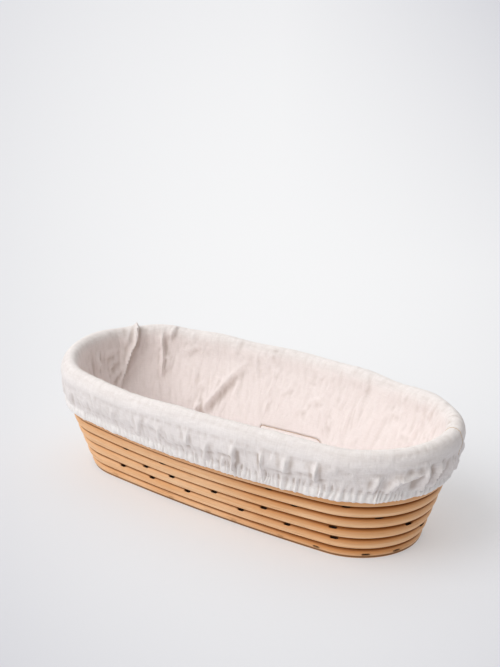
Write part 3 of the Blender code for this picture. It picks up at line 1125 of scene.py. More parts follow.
        # Painted shade in the slots, paled in the bottom row
        slots = mask * (1.0 - self.faint(points))[:, None]
        marks = {
            "painted_shade": np.maximum(painted_shade, tones.hem_painted_shade * tones.hem_shadow_heights.at(z)),
            "seam": np.maximum(np.maximum(upper * joined, lower), contact_shadow),
            "slot_shade": np.maximum(slots, tones.contact_shadow_black * contact_shadow),
        }
        round_cane = np.append(angle, angle[0] - TAU)[None] * self.diameter / 2
        along = run(points)[:, None]
        return Surface(name, skin, along, round_cane, caps=True, sharp=math.radians(48), marks=marks)

    def floor_cane(self) -> Surface:
        """The floor's coil, pared to a tip at both ends."""
        end = ARCS * (self.floor_loops - 1) + self.level_arcs
        winding = np.arange(-self.taper_arcs, end + self.taper_arcs, self.floor_step * self.station_step)
        points, out, full = self.floor_course(winding)
        to_tip = np.minimum(self.taper_arcs + winding, self.taper_arcs + end - winding)
        share = np.clip(to_tip / self.taper_arcs, 0, 1)
        radius = full * (self.tip_share + (1 - self.tip_share) * share)
        shift = np.where(winding < end / 2, -1.0, 1.0) * (full - radius)
        points = points + shift[:, None] * out
        points[:, 2] -= full - radius
        angle = np.linspace(math.pi, -math.pi, self.base_sides, endpoint=False)
        up = np.asarray((0.0, 0.0, 1.0))
        ring = np.cos(angle)[None, :, None] * up + np.sin(angle)[None, :, None] * out[:, None]
        skin = points[:, None] + radius[:, None, None] * ring[:, ::-1]
        return self.skinned("floor_cane", skin, points, angle)

    def floor_core(self) -> Surface:
        """The straight cane in the middle of the floor, with rounded ends."""
        lowest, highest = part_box("floor_core")
        half = (highest[0] - lowest[0]) / 2
        x = np.linspace(-half, half, 90)
        radius = self.diameter / 2 * np.sqrt(np.clip((half - np.abs(x)) / self.core_rounding, 0.04, 1.0))
        points = np.column_stack((x, np.zeros(len(x)), np.full(len(x), self.oval.foot_height)))
        angle = np.linspace(math.pi, -math.pi, self.base_sides, endpoint=False)
        ring = np.column_stack((np.zeros(len(angle)), np.sin(angle), np.cos(angle)))[::-1]
        skin = points[:, None] + radius[:, None, None] * ring[None]
        return self.skinned("floor_core", skin, points, angle)

    def staple_form(self) -> Array:
        """One staple's wire: two legs and a crown with rounded corners, X along the cane and Z out."""
        sizes = self.staple
        half, corner = sizes.crown / 2, sizes.corner
        bend = np.linspace(0.0, math.pi / 2, 5)
        left = np.column_stack((-half + corner - corner * np.cos(bend), corner * np.sin(bend) - corner))
        right = left[::-1] * [-1, 1]
        bends = np.vstack(([[-half, -sizes.leg]], left, right, [[half, -sizes.leg]]))
        return bent_wire(bends, sizes.wire / 2, 8)

    def staples(self, name: str, winding: Array) -> Piece:
        """A set of staples, each sunk into its slot."""
        seat, tangent, out = self.seats(winding)
        frames = np.stack((tangent, np.cross(out, tangent), out), axis=1)
        sink = np.where(winding < ARCS, self.staple.foot_sink, self.staple.sink)[:, None]
        return copies(name, self.staple_form(), seat - sink * out, frames)

    def build(self, nodes: dict[str, Piece]) -> None:
        """Makes the floor, the wall and the staples.

        Args:
            nodes: The frame's CAD nodes by name.
        """
        prefix = "staple_row"
        names = sorted(name for name in nodes if name.startswith(prefix))
        lower = np.asarray([self.staple_winding(int(name[len(prefix)]), nodes[name]) for name in names])
        upper = self.upper_staples()
        every = np.concatenate((lower, upper))
        splice = ARCS * (self.lower_rows - 1) + self.splice_arcs
        gap = self.splice_gap / 2 / float(self.speed(np.asarray([splice]))[0])
        pieces = (
            self.floor_core(),
            self.floor_cane(),
            self.wall_cane("wall_cane_lower", -self.taper_arcs, splice - gap, every[every < splice]),
            self.wall_cane("wall_cane_upper", splice + gap, self.coil_end, every[every > splice]),
        )
        for surface in pieces:
            settle(surface.piece(), Body.BASKET, Slot.CANE, self.finish, surface.name)
        settle(self.staples("staples_lower", lower), Body.BASKET, Slot.WIRE, self.wire_finish, *names)
        settle(self.staples("staples_upper", upper), Body.BASKET, Slot.WIRE, self.wire_finish)


# Cloth liner


@dataclass(frozen=True)
class Fold:
    """A crease that stands off the cloth along a curved path.

    Each place on the path is a distance along the wall from the middle of the back, towards -X, and a fall:
    how far over the cloth from the crest of the rim, inwards positive. One flank falls away gently. The other
    is steep and dips below the cloth beside it, and the crest leans over it.
    """

    # Points along the path, the dip's width over the steep flank's, and how many flank widths a fold reaches
    POINTS: ClassVar[int] = 20
    DIP_WIDTH: ClassVar[float] = 3.2
    REACH: ClassVar[float] = 6.0

    path: Array
    rise: float
    gentle: float
    steep: float = 0.0009
    dip: float = 0.3
    ends: Pair = (0.3, 0.3)
    lean: float = 0.4
    crest: float = 0.0003

    def relief(self, distance: Array, fall: Array, around: float) -> tuple[Array, Array, Array]:
        """How far the fold moves the cloth near it.

        Args:
            distance: Distance along the wall of each column.
            fall: Fall from the rim's crest of each row.
            around: Distance once round the wall.

        Returns:
            Numbers of the columns it reaches, the rise off the cloth there, and the shift along the wall.
        """
        line = through(self.path, self.POINTS)
        middle = line[:, 0].mean()
        gap = np.mod(distance - middle + around / 2, around) - around / 2 + middle
        wide = self.DIP_WIDTH * self.steep
        reach = self.REACH * max(self.gentle, wide)
        near = np.flatnonzero((gap > line[:, 0].min() - reach) & (gap < line[:, 0].max() + reach))
        from_line = (gap[near][None, :, None] - line[:, 0]) ** 2 + (fall[:, None, None] - line[:, 1]) ** 2
        nearest = from_line.argmin(axis=-1)
        aside = gap[near] - line[nearest, 0]
        below = fall[:, None] - line[nearest, 1]
        tangent = unit(np.gradient(line, axis=0))[nearest]
        step = np.linalg.norm(np.diff(line, axis=0), axis=1).mean()
        share = nearest + (aside * tangent[..., 0] + below * tangent[..., 1]) / step
        share = share / (self.POINTS - 1)
        off = aside * tangent[..., 1] - below * tangent[..., 0]
        swell = ease(share / self.ends[0]) * ease((1.0 - share) / self.ends[1])
        size = np.hypot(off, self.crest) - self.crest
        sharp = (1.0 + self.dip) * np.exp(-size / self.steep) - self.dip * np.exp(-size / wide)
        form = self.rise * swell * np.where(off < 0, np.exp(-size / self.gentle), sharp)
        return near, form, self.lean * np.maximum(form, 0.0) * np.sign(tangent[..., 1])


@dataclass
class Gathers:
    """Ribs of cloth drawn up on the elastic: uneven in width, depth and height."""

    around: float
    pitch: float = 0.0040
    uneven: float = 0.50
    least_depth: float = 0.40
    narrowness: float = 1.4
    seed: int = 5

    def __post_init__(self) -> None:
        """Draws each rib's place, depth and height."""
        draw = np.random.default_rng(self.seed)
        count = round(self.around / self.pitch)
        widths = 1.0 + self.uneven * draw.uniform(-1.0, 1.0, count)
        self.edges = np.concatenate(([0.0], np.cumsum(widths))) * self.around / widths.sum()
        self.depth = draw.uniform(self.least_depth, 1.0, count)
        self.tall = draw.uniform(0.0, 1.0, count)

    def columns(self) -> Array:
        """Distances along the wall that show every rib: its valleys, flanks and crest."""
        steps = np.asarray((0.0, 0.14, 0.38, 0.62, 0.86))
        return (self.edges[:-1, None] + steps * np.diff(self.edges)[:, None]).ravel()

    def at(self, distance: Array) -> tuple[Array, Array, Array]:
        """Rib profile at distances along the wall: a power of a sine across each rib.

        Args:
            distance: Distances along the wall.

        Returns:
            Profile from 0 in a valley to 1 on a crest, the rib's depth and its height, each 0 to 1.
        """
        phase = np.interp(np.mod(distance, self.around), self.edges, np.arange(len(self.edges)))
        number = np.minimum(phase.astype(int), len(self.depth) - 1)
        profile = np.sin(math.pi * (phase - np.floor(phase))) ** self.narrowness
        return profile, self.depth[number], self.tall[number]


class Crease(NamedTuple):
    """A crease seen on the cloth.

    Places from low to high, by distance and height, its rise and its gentle and steep flanks are in
    millimetres. The dip and the ends are shares of the rise and of the length.
    """

    places: tuple[Pair, ...]
    rise: float
    gentle: float
    steep: float
    dip: float
    ends: Pair = (0.3, 0.3)


# Creases seen on the inside, placed from the middle of the back, towards -X
INSIDE_CREASES: tuple[Crease, ...] = (
    Crease(((178, 45.5), (169.7, 57.7), (162.5, 71.2), (158.2, 79), (154.5, 89.6)), 5.8, 3, 1.6, 0.6,
           (0.3, 0.05)),
    Crease(((132.2, 53), (131.2, 66.4), (133.3, 76.5), (133.8, 86.5)), 3.4, 2.4, 1, 0.3, (0.3, 0.2)),
    Crease(((121.4, 63.5), (125.5, 65.5), (130.8, 71)), 2, 2, 1, 0.3),
    Crease(((127.5, 81.2), (120.2, 89.2)), 2.6, 2, 1, 0.3, (0.3, 0.2)),
    Crease(((90.5, 38.5), (76.1, 52.6), (64, 64.1), (47.6, 78.6)), 4.4, 4.2, 1.4, 0.5, (0.15, 0.6)),
    Crease(((101.3, 28), (96.6, 37.5), (91, 44.5)), 5.6, 2.6, 1.4, 0.6, (0.2, 0.3)),
    Crease(((199, 60), (197.4, 69.7), (194.1, 79)), 2.6, 1.8, 1.2, 0.4),
    Crease(((188, 71.2), (183.2, 72.6), (171.6, 74.2)), 2.2, 2, 1.2, 0.4),
    Crease(((184, 64.1), (178, 67), (171.8, 70.3)), 2.8, 1.8, 1.2, 0.4),
    Crease(((182.9, 54.3), (174.5, 60), (166.2, 65.5)), 2.8, 2, 1.2, 0.4),
    Crease(((209, 56), (206.5, 66), (208.5, 75)), 2.2, 1.8, 1.2, 0.3),
    Crease(((115, 71.2), (96.5, 79.5)), 1.4, 2, 1, 0.2),
    Crease(((-8, 56.8), (-25, 60)), 1.3, 2, 1, 0.3),
    Crease(((-34, 40), (-29, 48), (-23.2, 57.2)), 1.8, 2.2, 1, 0.3),
    Crease(((-58, 54), (-56.6, 71.5)), 1.4, 1.8, 1, 0.15),
    Crease(((-48.6, 47.5), (-50, 65.5)), 1.3, 1.8, 1, 0.15),
    Crease(((-127, 62), (-139, 81)), 1.3, 3, 1.2, 0.2),
    Crease(((-113, 77), (-115, 87)), 1.2, 2.4, 1.1, 0.2),
)

# Tucks seen on the skirt, placed from the middle of the front, towards +X
SKIRT_TUCKS: tuple[Crease, ...] = (
    Crease(((-90.8, 59.2), (-88.8, 65.2), (-82.1, 73)), 0.7, 1.9, 0.9, 0.3, (0.2, 0.4)),
    Crease(((-72.5, 59.2), (-64, 73.6), (-62.2, 80)), 0.8, 2.4, 0.9, 0.3, (0.2, 0.4)),
    Crease(((-45.3, 57.7), (-37.7, 70.5), (-33, 79.2)), 1.2, 1.8, 1, 0.4, (0.2, 0.4)),
    Crease(((-22.1, 62), (-17.4, 72.2), (-15.4, 79)), 1.7, 1.8, 1, 0.35, (0.2, 0.4)),
    Crease(((7.4, 67.2), (9.6, 75.2), (9.8, 79.5)), 1.9, 1.5, 0.8, 0.25, (0.2, 0.3)),
    Crease(((18.7, 55.3), (23.6, 67.8), (28.6, 76.8)), 1.8, 2, 0.8, 0.4, (0.2, 0.4)),
    Crease(((33, 56.1), (35.9, 62.2), (39.5, 69)), 1.4, 1.5, 0.8, 0.4, (0.2, 0.4)),
    Crease(((43.1, 54), (45.3, 63.3), (47.7, 74), (48.9, 79.5)), 3.2, 1.8, 1.1, 0.55, (0.15, 0.35)),
    Crease(((67.2, 55), (67.8, 64.8), (68.9, 73), (69.6, 79.5)), 2.8, 1.5, 1, 0.4, (0.15, 0.35)),
    Crease(((85.7, 66), (86.1, 69.8), (87, 76.5), (87.2, 80)), 3.1, 1.8, 1.2, 0.6, (0.15, 0.4)),
    Crease(((107.6, 64), (107.8, 68.1), (108, 76), (108.4, 80)), 3.2, 1.8, 1.2, 0.6, (0.15, 0.4)),
    Crease(((114, 70.6), (117.7, 76.5), (123.3, 81.5)), 1.4, 2.5, 1.5, 0.3),
    Crease(((141.4, 59), (142.4, 64.3), (143.8, 70.2), (146.1, 74.2)), 3.2, 2, 2.4, 0.6, (0.2, 0.3)),
    Crease(((148.5, 58.8), (150.8, 62.7), (153, 66.7), (155.9, 69.8), (161.2, 70.7), (167.1, 72),
           (173, 74.5)), 4.6, 1.8, 2.6, 0.5, (0.12, 0.3)),
    Crease(((154.9, 58.8), (154.9, 63.8), (157, 67.4), (161.2, 69.2)), 2.3, 1.4, 2, 0.4, (0.2, 0.3)),
    Crease(((170.8, 56.8), (171.6, 62.3), (172.3, 68.5), (173.7, 73.8), (175.8, 78)), 5.3, 2.4, 1.5, 0.7,
           (0.15, 0.3)),
    Crease(((179.4, 56), (179.8, 61.2), (181.1, 67.4), (183.4, 72.2), (188.2, 75.5)), 5.3, 2.2, 1.5, 0.7,
           (0.15, 0.3)),
    Crease(((192.4, 56.5), (193.5, 60.8), (194.9, 65.4), (196.7, 70.2), (198.5, 75)), 4.1, 2.2, 1.4, 0.6,
           (0.15, 0.3)),
    Crease(((208.5, 57), (208, 63), (207.2, 71)), 3, 1.8, 1.2, 0.4, (0.2, 0.3)),
    Crease(((189, 81.2), (182.4, 79.2), (174.1, 78.8), (163.9, 78.7), (155.1, 78.3), (146, 77.2)), 2.1, 3,
           1.6, 0.6, (0.25, 0.25)),
)

# Height of the crease above the ribs, by place from the middle of the front, in millimetres
CREASE_HEIGHTS: tuple[Pair, ...] = (
    (-100, 64), (-46, 64), (-36, 70), (-19, 70), (-12, 62.1), (9, 66.2), (10, 64.8), (21, 65.6), (36, 67.8),
    (45, 68.5), (49, 72.8), (66, 75), (69, 64.7), (85, 66.6), (86, 65.6), (106, 69.6), (108, 65.6),
    (125, 68.8), (140, 68), (146, 62), (200, 62),
)


@dataclass
class Liner:
    """The cloth liner: a floor panel, a band over the rim with a gathered skirt, its hem and its sewing.

    Distances along the wall are from the middle of the back, towards -X. Offsets are level distances from
    the wall's centreline at the same height. A fall is a distance over the cloth from the crest of the rim,
    inwards positive.
    """

    oval: WallOval
    cloth: Material
    elastic: Material
    thread: Material
    seam_thread: Material
    thickness: float = 0.0005
    weld_gap: float = 0.00001

    # The section's heights and offsets
    roll_height: float = 0.0837
    roll_radius: float = 0.0057
    roll_offset: float = -0.0028
    inner_top: float = 0.0735
    inner_offset: float = -0.0068
    inner_limit: float = -0.0007
    seam_height: float = 0.0328
    seam_low: float = 0.0215
    seam_turn: float = 0.0005
    stitch_height: float = 0.0582
    hem_height: float = 0.0508
    skirt_offset: float = 0.0072
    least_offset: float = 0.0059
    end_tuck: float = 0.0012
    tuck_rows: int = 6
    hem_rows: int = 8
    skirt_rows: int = 12
    roll_rows: int = 11
    inner_rows: int = 22

    # Where the skirt, the rim's roll and the inside begin and end, by fall
    skirt_falls: Ramp = Ramp(-0.005, -0.015)
    hanging_falls: Ramp = Ramp(-0.003, -0.011)
    inner_falls: Ramp = Ramp(0.005, 0.014)
    creased_falls: Ramp = Ramp(-0.010, -0.006)
    sewn_reach: float = 0.010
    turned_rows: Ramp = Ramp(-2.0, 1.0)
    end_reach: Ramp = Ramp(0.028, -0.032)

    # The rim's lift along the front and round the -X end
    front_lift: float = 0.0033
    front_middle: float = 0.4200
    front_reach: float = 0.088
    end_lift: float = 0.0026
    end_lift_reach: Plateau = Plateau(0.110, 0.145, 0.210, 0.255)
    lift_heights: Ramp = Ramp(0.064, 0.082)

    # The floor seam's rise at the middle of the back
    seam_reach: Plateau = Plateau(-0.0470, -0.0250, 0.0295, 0.0335)
    seam_slope: float = 0.036
    seam_inset: float = 0.0004

    # Ribs over the elastic, by place from the middle of the front
    rib_depth: float = 0.0026
    rib_shares: Triple = (0.40, 0.45, -0.15)
    rib_level: float = 0.40
    rib_tops: Triple = (0.0592, 0.0036, 0.0034)
    rib_fade: float = 0.0036
    rib_sway: float = 0.0005
    rib_slant: float = 0.12
    rib_foot: Ramp = Ramp(0.0004, 0.0034)
    rib_foot_share: float = 0.3
    fuller_reach: Plateau = Plateau(-0.060, 0.070, 0.250, 0.300)

    # Cloth that hangs over the ribs above a soft crease
    blouse: float = 0.0020
    blouse_rise: float = 0.0026
    blouse_heights: Ramp = Ramp(0.082, 0.070)
    blouse_least: float = 0.6
    end_calm: float = 0.85
    loose_least: float = 0.35
    loose_reach: Plateau = Plateau(-0.050, 0.030, 0.290, 0.340)
    crease_reach: Plateau = Plateau(-0.100, -0.080, 0.180, 0.200)
    crease_height: float = 0.0642
    crease_wander: float = 0.0014

    # Small waves and thin creases
    skirt_crumple: float = 0.00012
    skirt_web: float = 0.00035
    inner_billow: float = 0.0005
    inner_crumple: float = 0.00007
    inner_web: float = 0.0004
    roll_crumple: float = 0.00006
    roll_uneven: Pair = (0.00015, 0.00035)
    roll_back: Ramp = Ramp(0.26, 0.20)
    web_width: float = 1.5
    scallop: float = 0.0002
    scallop_heights: Ramp = Ramp(0.004, 0.0)

    # Painted shade in the hollows, and painted light on the double hem
    crease_shade_share: float = 0.75
    hollow_depth: float = 0.0009
    inner_hollow: float = 0.25
    painted_hem_light_heights: Ramp = Ramp(0.0008, -0.0004)
    painted_hem_light_hollow: float = 0.45

    # The floor panel
    floor_height: float = 0.0096
    floor_corner: float = 0.0045
    panel_columns: int = 520
    panel_slack: Ramp = Ramp(0.0, 5.0)
    panel_flat: Ramp = Ramp(19.0, 12.0)
    panel_crumple: float = 0.0003
    panel_billow: float = 0.0004
    floor_billow: float = 0.00035
    coil_print: float = 0.00028
    coil_pitch: float = 0.0101

    # Elastic and sewing
    ring_columns: int = 900
    elastic_offset: float = 0.00669
    elastic_half: float = 0.00028
    elastic_squareness: float = 0.4
    elastic_wave: float = 0.00008
    elastic_wavelength: float = 0.0021
    elastic_tuck: float = 0.0010
    stitch_length: float = 0.0020
    stitch_gap: float = 0.0008
    stitch_wire: float = 0.00022
    join_distance: float = 0.5926
    join_rows: tuple[int, int] = (-12, 5)
    join_stitches: int = 30
    join_slant: float = 0.6
    join_form: Quad = (0.0009, 0.00011, 0.000176, 0.00016)
    cord_radius: float = 0.00014
    cord_twist: float = 0.00005
    cord_lay: float = 0.0016

    def __post_init__(self) -> None:
        """Sets up the gathers and the noise, and works out the cloth's section."""
        self.around = self.oval.around
        self.gathers = Gathers(self.around)
        self.distance = self.gathers.columns()
        self.billow = Waves(21, 30, (2, 16), 9.0)
        self.crumple = Waves(22, 90, (30, 150), 75.0)
        self.web = Waves(24, 40, (16, 60), 40.0)
        self.front = self.around / 2
        self.offset, self.height = self.section()
        along = run(np.column_stack((self.offset + self.oval.flare * self.height, self.height)))
        self.top = int(self.height.argmax())
        self.fall = along - along[self.top]

    def section(self) -> tuple[Array, Array]:
        """The cloth's section: up inside the casing, round the hem, up the skirt, over the rim, to the seam.

        Returns:
            Offsets and heights, row by row, from the casing's raw edge.
        """
        skirt, low, inner = self.skirt_offset, self.hem_height, self.inner_offset
        tuck = [
            (skirt - 0.0017, self.stitch_height - 0.0005), (skirt - 0.0016, 0.0550),
            (skirt - 0.0008, low + 0.0012), (skirt + 0.0003, low),
        ]
        hem = [
            tuck[-1], (skirt + 0.0013, low + 0.0004), (skirt + 0.0015, low + 0.0022),
            (skirt + 0.0010, 0.0557), (skirt + 0.0002, self.stitch_height),
        ]
        rising = [
            hem[-1], (skirt + 0.0002, 0.0610), (skirt, 0.0660), (skirt - 0.0003, 0.0715),
            (skirt - 0.0011, 0.0765), (skirt - 0.0022, 0.0800),
        ]
        inside = [
            (inner - 0.0013, 0.0790), (inner - 0.0005, 0.0745), (inner - 0.0001, 0.0690),
            (inner, 0.0600), (inner, 0.0450), (inner, self.seam_height + 0.0012),
            (inner + self.seam_turn, self.seam_height),
        ]
        angle = np.radians(np.arange(12, 169, 26))
        up = self.roll_radius * np.sin(angle)
        round_rim = self.roll_offset + self.roll_radius * np.cos(angle) - self.oval.flare * up
        roll = [rising[-1], *zip(round_rim, self.roll_height + up), inside[0]]
        line = np.zeros((1, 2))
        for points, count in (
            (tuck, self.tuck_rows),
            (hem, self.hem_rows),
            (rising, self.skirt_rows),
            (roll, self.roll_rows),
            (inside, self.inner_rows),
        ):
            line = np.vstack((line[:-1], through(points, count)))
        return line[:, 0], line[:, 1]

    def fall_at(self, height: Array, inside: bool) -> Array:
        """Fall at heights, on the inside or on the skirt."""
        if inside:
            return np.interp(-height, -self.height[self.top :], self.fall[self.top :])
        rows = slice(self.tuck_rows - 1, self.top + 1)
        return np.interp(height, self.height[rows], self.fall[rows])

    def from_back(self, distance: Array) -> Array:
        """Distance from the middle of the back, towards -X positive and towards +X negative."""
        return np.mod(distance + self.front, self.around) - self.front

    def from_front(self, distance: Array) -> Array:
        """Distance from the middle of the front, towards +X positive and towards -X negative."""
        return np.mod(distance, self.around) - self.front

    def seen_folds(self, creases: Sequence[Crease], inside: bool) -> list[Fold]:
        """Folds for the creases seen on one side of the cloth.

        Args:
            creases: The creases, counted from the middle of the back inside, or of the front on the skirt.
            inside: Whether they lie on the inside.

        Returns:
            One fold for each.
        """
        start, lean, crest = (0.0, 0.05, 0.0007) if inside else (self.front, 0.1, 0.0006)
        folds = []
        for crease in creases:
            place, height = MILLIMETRE * np.asarray(crease.places).T
            path = np.column_stack((start + place, self.fall_at(height, inside)))
            rise, gentle, steep = (MILLIMETRE * size for size in crease[1:4])
            folds.append(Fold(path, rise, gentle, steep, crease.dip, crease.ends, lean, crest))
        return folds

    def stroke(
        self, draw: np.random.Generator, falls: Pair, longest: float, tilt: float, way: float
    ) -> Array:
        """Ends of a small crease at random. The way is 1 where cloth rises with its fall, or else -1."""
        place, fall = draw.uniform(0.0, self.around), draw.uniform(*falls)
        length, lean = draw.uniform(0.004, longest), draw.normal(0.0, tilt)
        end = (place + length * math.sin(lean), fall + way * length * math.cos(lean))
        return np.asarray(((place, fall), end))

    def inner_folds(self) -> list[Fold]:
        """Creases of the inside: those seen, and small ones drawn at random over the rest."""
        folds = self.seen_folds(INSIDE_CREASES, True)
        draw = np.random.default_rng(41)
        for _ in range(190):
            path = self.stroke(draw, (0.010, 0.060), 0.020, 0.8, -1.0)
            size = draw.uniform(0.0004, 0.0012)
            folds.append(Fold(path, size, draw.uniform(0.0012, 0.0030), lean=0.1))
        return folds

    def skirt_folds(self) -> list[Fold]:
        """Tucks of the skirt: those seen, the rest of the way round at uneven spacing, and small creases."""
        folds = self.seen_folds(SKIRT_TUCKS, False)
        draw = np.random.default_rng(31)
        place = self.front + 0.222
        while place < self.around + self.front - 0.100:
            heights = [draw.uniform(*ends) for ends in ((0.0570, 0.0590), (0.063, 0.068), (0.072, 0.079))]
            slant = draw.uniform(-0.002, 0.004)
            spots = place + slant * np.asarray((0.0, 0.7, 1.0))
            path = np.column_stack((spots, self.fall_at(np.asarray(heights), False)))
            calm = 0.4 if 0.13 < place % self.around < 0.30 else 1.0
            rise = calm * draw.uniform(0.0014, 0.0030)
            folds.append(Fold(path, rise, draw.uniform(0.002, 0.0035), 0.0013, 0.5, (0.2, 0.35), 0.1, 0.0006))
            place += draw.uniform(0.010, 0.024)
        for _ in range(90):
            path = self.stroke(draw, (-0.030, -0.012), 0.014, 0.7, 1.0)
            folds.append(Fold(path, draw.uniform(0.0002, 0.0006), 0.0018))
        return folds

    def seam_line(self, distance: Array) -> Array:
        """Height of the seam to the floor panel: it rides up at the middle of the back."""
        aside = self.from_back(distance)
        high = self.seam_height - self.seam_inset - self.seam_slope * aside
        return self.seam_low + (high - self.seam_low) * self.seam_reach.at(aside)

    def laid(self, distance: Array, offset: Array, height: Array) -> Array:
        """Points of the liner: the wall's outline at each height, moved out by an offset."""
        return self.oval.spot(self.oval.arc_at(distance), height, offset)

    @staticmethod
    def facing(points: Array) -> tuple[Array, Array]:
        """Normals on the showing side and directions along the wall, over a grid closed round its columns."""
        along = np.roll(points, -1, axis=1) - np.roll(points, 1, axis=1)
        up = np.gradient(points, axis=0)
        return unit(np.cross(along, up)), unit(along)

    def crease_line(self, distance: Array) -> Array:
        """Height of the crease above the ribs: as seen along the front, and wandering round the rest."""
        place = self.from_front(distance)
        knots = MILLIMETRE * np.asarray(CREASE_HEIGHTS)
        seen = self.crease_reach.at(place)
        wander = self.crease_height + self.crease_wander * self.billow.at(distance / self.around)
        return seen * np.interp(place, knots[:, 0], knots[:, 1]) + (1 - seen) * wander

    def at_ends(self, distance: Array) -> Array:
        """How far round an end each distance lies: 1 at its apex, 0 along the sides."""
        end, _ = self.oval.girth()
        from_apex = np.abs(np.mod(distance, self.front) - self.front / 2)
        return self.end_reach.at(from_apex - end / 2)

    def skirt_relief(self, distance: Array, height: Array) -> Array:
        """Ribs over the elastic, and the fuller cloth that hangs over them above a soft crease."""
        turn = distance / self.around
        sway = self.rib_sway * self.web.at(turn, 2.0 * height) - self.rib_slant * (height - self.hem_height)
        profile, depth, tall = self.gathers.at(distance + sway)
        ends = self.at_ends(distance)
        crease = self.crease_line(distance)
        place = self.from_front(distance)
        fuller = self.fuller_reach.at(place)
        lowest, more, taller = self.rib_tops
        top = np.minimum(crease, lowest + more * fuller + taller * tall)
        fade = Ramp(top, top - self.rib_fade).at(height)
        share = self.rib_shares[0] + self.rib_shares[1] * fuller + self.rib_shares[2] * ends
        ribs = self.rib_depth * share * (depth * profile - self.rib_level) * fade
        at_foot = self.rib_foot.at(height - self.hem_height)
        ribs *= self.rib_foot_share + (1.0 - self.rib_foot_share) * at_foot
        uneven = ease(0.5 + 0.6 * self.billow.at(turn + 0.37))
        strength = self.blouse_least + (1.0 - self.blouse_least) * uneven
        above = ease((height - crease) / self.blouse_rise) * self.blouse_heights.at(height)
        loose = self.loose_least + (1.0 - self.loose_least) * self.loose_reach.at(place)
        hang = self.blouse * strength * (1.0 - self.end_calm * ends) * loose
        return ribs + hang * above

    def ridges(self, turn: Array, across: Array) -> Array:
        """Thin creases where crumpled cloth was folded, from 0 to 1."""
        return (1.0 - np.clip(self.web_width * np.abs(self.web.at(turn, across)), 0.0, 1.0)) ** 2

    def lifted(self, distance: Array, level: Array) -> Array:
        """How far the rim's cloth stands above its even height: along the front and round the -X end."""
        hump = np.clip(1.0 - ((distance - self.front_middle) / self.front_reach) ** 2, 0.0, 1.0)
        lift = self.front_lift * hump + self.end_lift * self.end_lift_reach.at(distance)
        return lift * self.lift_heights.at(level)

    def levels(self) -> Array:
        """Heights of the whole sheet before its relief, spread on the inside to reach the floor seam."""
        drop = self.inner_top - self.height[:, None]
        stretch = (self.inner_top - self.seam_line(self.distance)) / (self.inner_top - self.seam_height)
        deep = (self.fall[:, None] > 0) & (drop > 0)
        return np.where(deep, self.inner_top - drop * stretch, self.height[:, None])

    def relief(self, level: Array, outside: Array) -> tuple[Array, Array]:
        """How far the cloth is moved off its section by ribs, waves and folds.

        Args:
            level: Heights of the sheet.
            outside: How far each row lies outside the casing, 0 to 1.

        Returns:
            The rise off the cloth, and the shift along the wall.
        """
        away, fall = self.distance[None], self.fall[:, None]
        turn = away / self.around
        on_skirt = self.skirt_falls.at(fall) * outside
        on_inside = self.inner_falls.at(fall)
        on_roll = (fall > self.skirt_falls.end) * (1.0 - on_skirt - on_inside)
        slack = ease((self.fall[-1] - fall) / self.sewn_reach)
        web = self.ridges(turn, fall)
        billow, crumple = self.billow.at(turn, fall), self.crumple.at(turn, fall)
        skirt = self.skirt_relief(away, level) + self.skirt_crumple * crumple + self.skirt_web * web
        inner = self.inner_billow * np.abs(billow) + self.inner_crumple * crumple + self.inner_web * web
        even, rough = self.roll_uneven
        uneven = even + rough * self.roll_back.at(np.abs(self.from_back(away)))
        roll = uneven * billow + self.roll_crumple * crumple
        out = on_skirt * skirt + on_inside * slack * np.maximum(inner, self.inner_limit) + on_roll * roll
        sideways = np.zeros_like(out)
        hangs = self.hanging_falls.at(fall) * outside
        creased = slack * self.creased_falls.at(fall)
        for share, folds in ((hangs, self.skirt_folds()), (creased, self.inner_folds())):
            for fold in folds:
                near, rise, shift = fold.relief(self.distance, self.fall, self.around)
                out[:, near] += share * rise
                sideways[:, near] += share * shift
        return out, sideways

    def cloth_grid(self) -> tuple[Array, Array]:
        """The whole sheet, row by row from the casing's raw edge to the floor seam.

        Returns:
            Its points, and how far each lies in a hollow.
        """
        away, fall = self.distance[None], self.fall[:, None]
        level = self.levels()
        outside = self.turned_rows.at(np.arange(len(self.fall)) - self.tuck_rows)[:, None]
        out, sideways = self.relief(level, outside)
        skirt = self.skirt_falls.at(fall)
        offset = self.offset[:, None] - self.end_tuck * self.at_ends(away) * skirt
        least = skirt * outside * (self.least_offset - offset)
        out = np.where(skirt * outside > 0, np.maximum(out, least), out)
        points = self.laid(away, offset, level)
        normal, along = self.facing(points)
        points = points + out[..., None] * normal + sideways[..., None] * along
        profile, depth, _ = self.gathers.at(away)
        scallop = self.scallop * (0.5 - depth * profile + self.billow.at(3 * away / self.around))
        points[..., 2] += scallop * self.scallop_heights.at(level - self.hem_height) * (fall < 0)
        points[..., 2] += self.lifted(away, level)
        return points, self.hollows(out)

    def hollows(self, out: Array) -> Array:
        """How far each point of the cloth lies below the mean of the cloth round it, 0 to 1, which sets the
        shade painted into the hollows.
        """
        steps = range(-4, 5)
        columns = sum(np.roll(out, step, axis=1) for step in steps) / len(steps)
        padded = np.pad(columns, ((1, 1), (0, 0)), mode="edge")
        around = (padded[:-2] + padded[1:-1] + padded[2:]) / 3.0
        hollow = np.clip((around - out) / self.hollow_depth, 0.0, 1.0)
        return hollow * (1.0 - self.inner_hollow * self.inner_falls.at(self.fall))[:, None]

    def cut(self, name: str, points: Array, hollow: Array, rows: slice) -> Surface:
        """Some rows of the cloth, marked with a painted warm tint inside, painted light on the double hem,
        and painted shade in the hollows.
        """
        fall, height = self.fall[rows, None], self.height[rows, None]
        edge = np.append(self.distance, self.around)[None]
        # Painted light on the double hem below the stitching, on the outside
        painted_hem_light = self.painted_hem_light_heights.at(height - self.stitch_height) * (fall < 0)
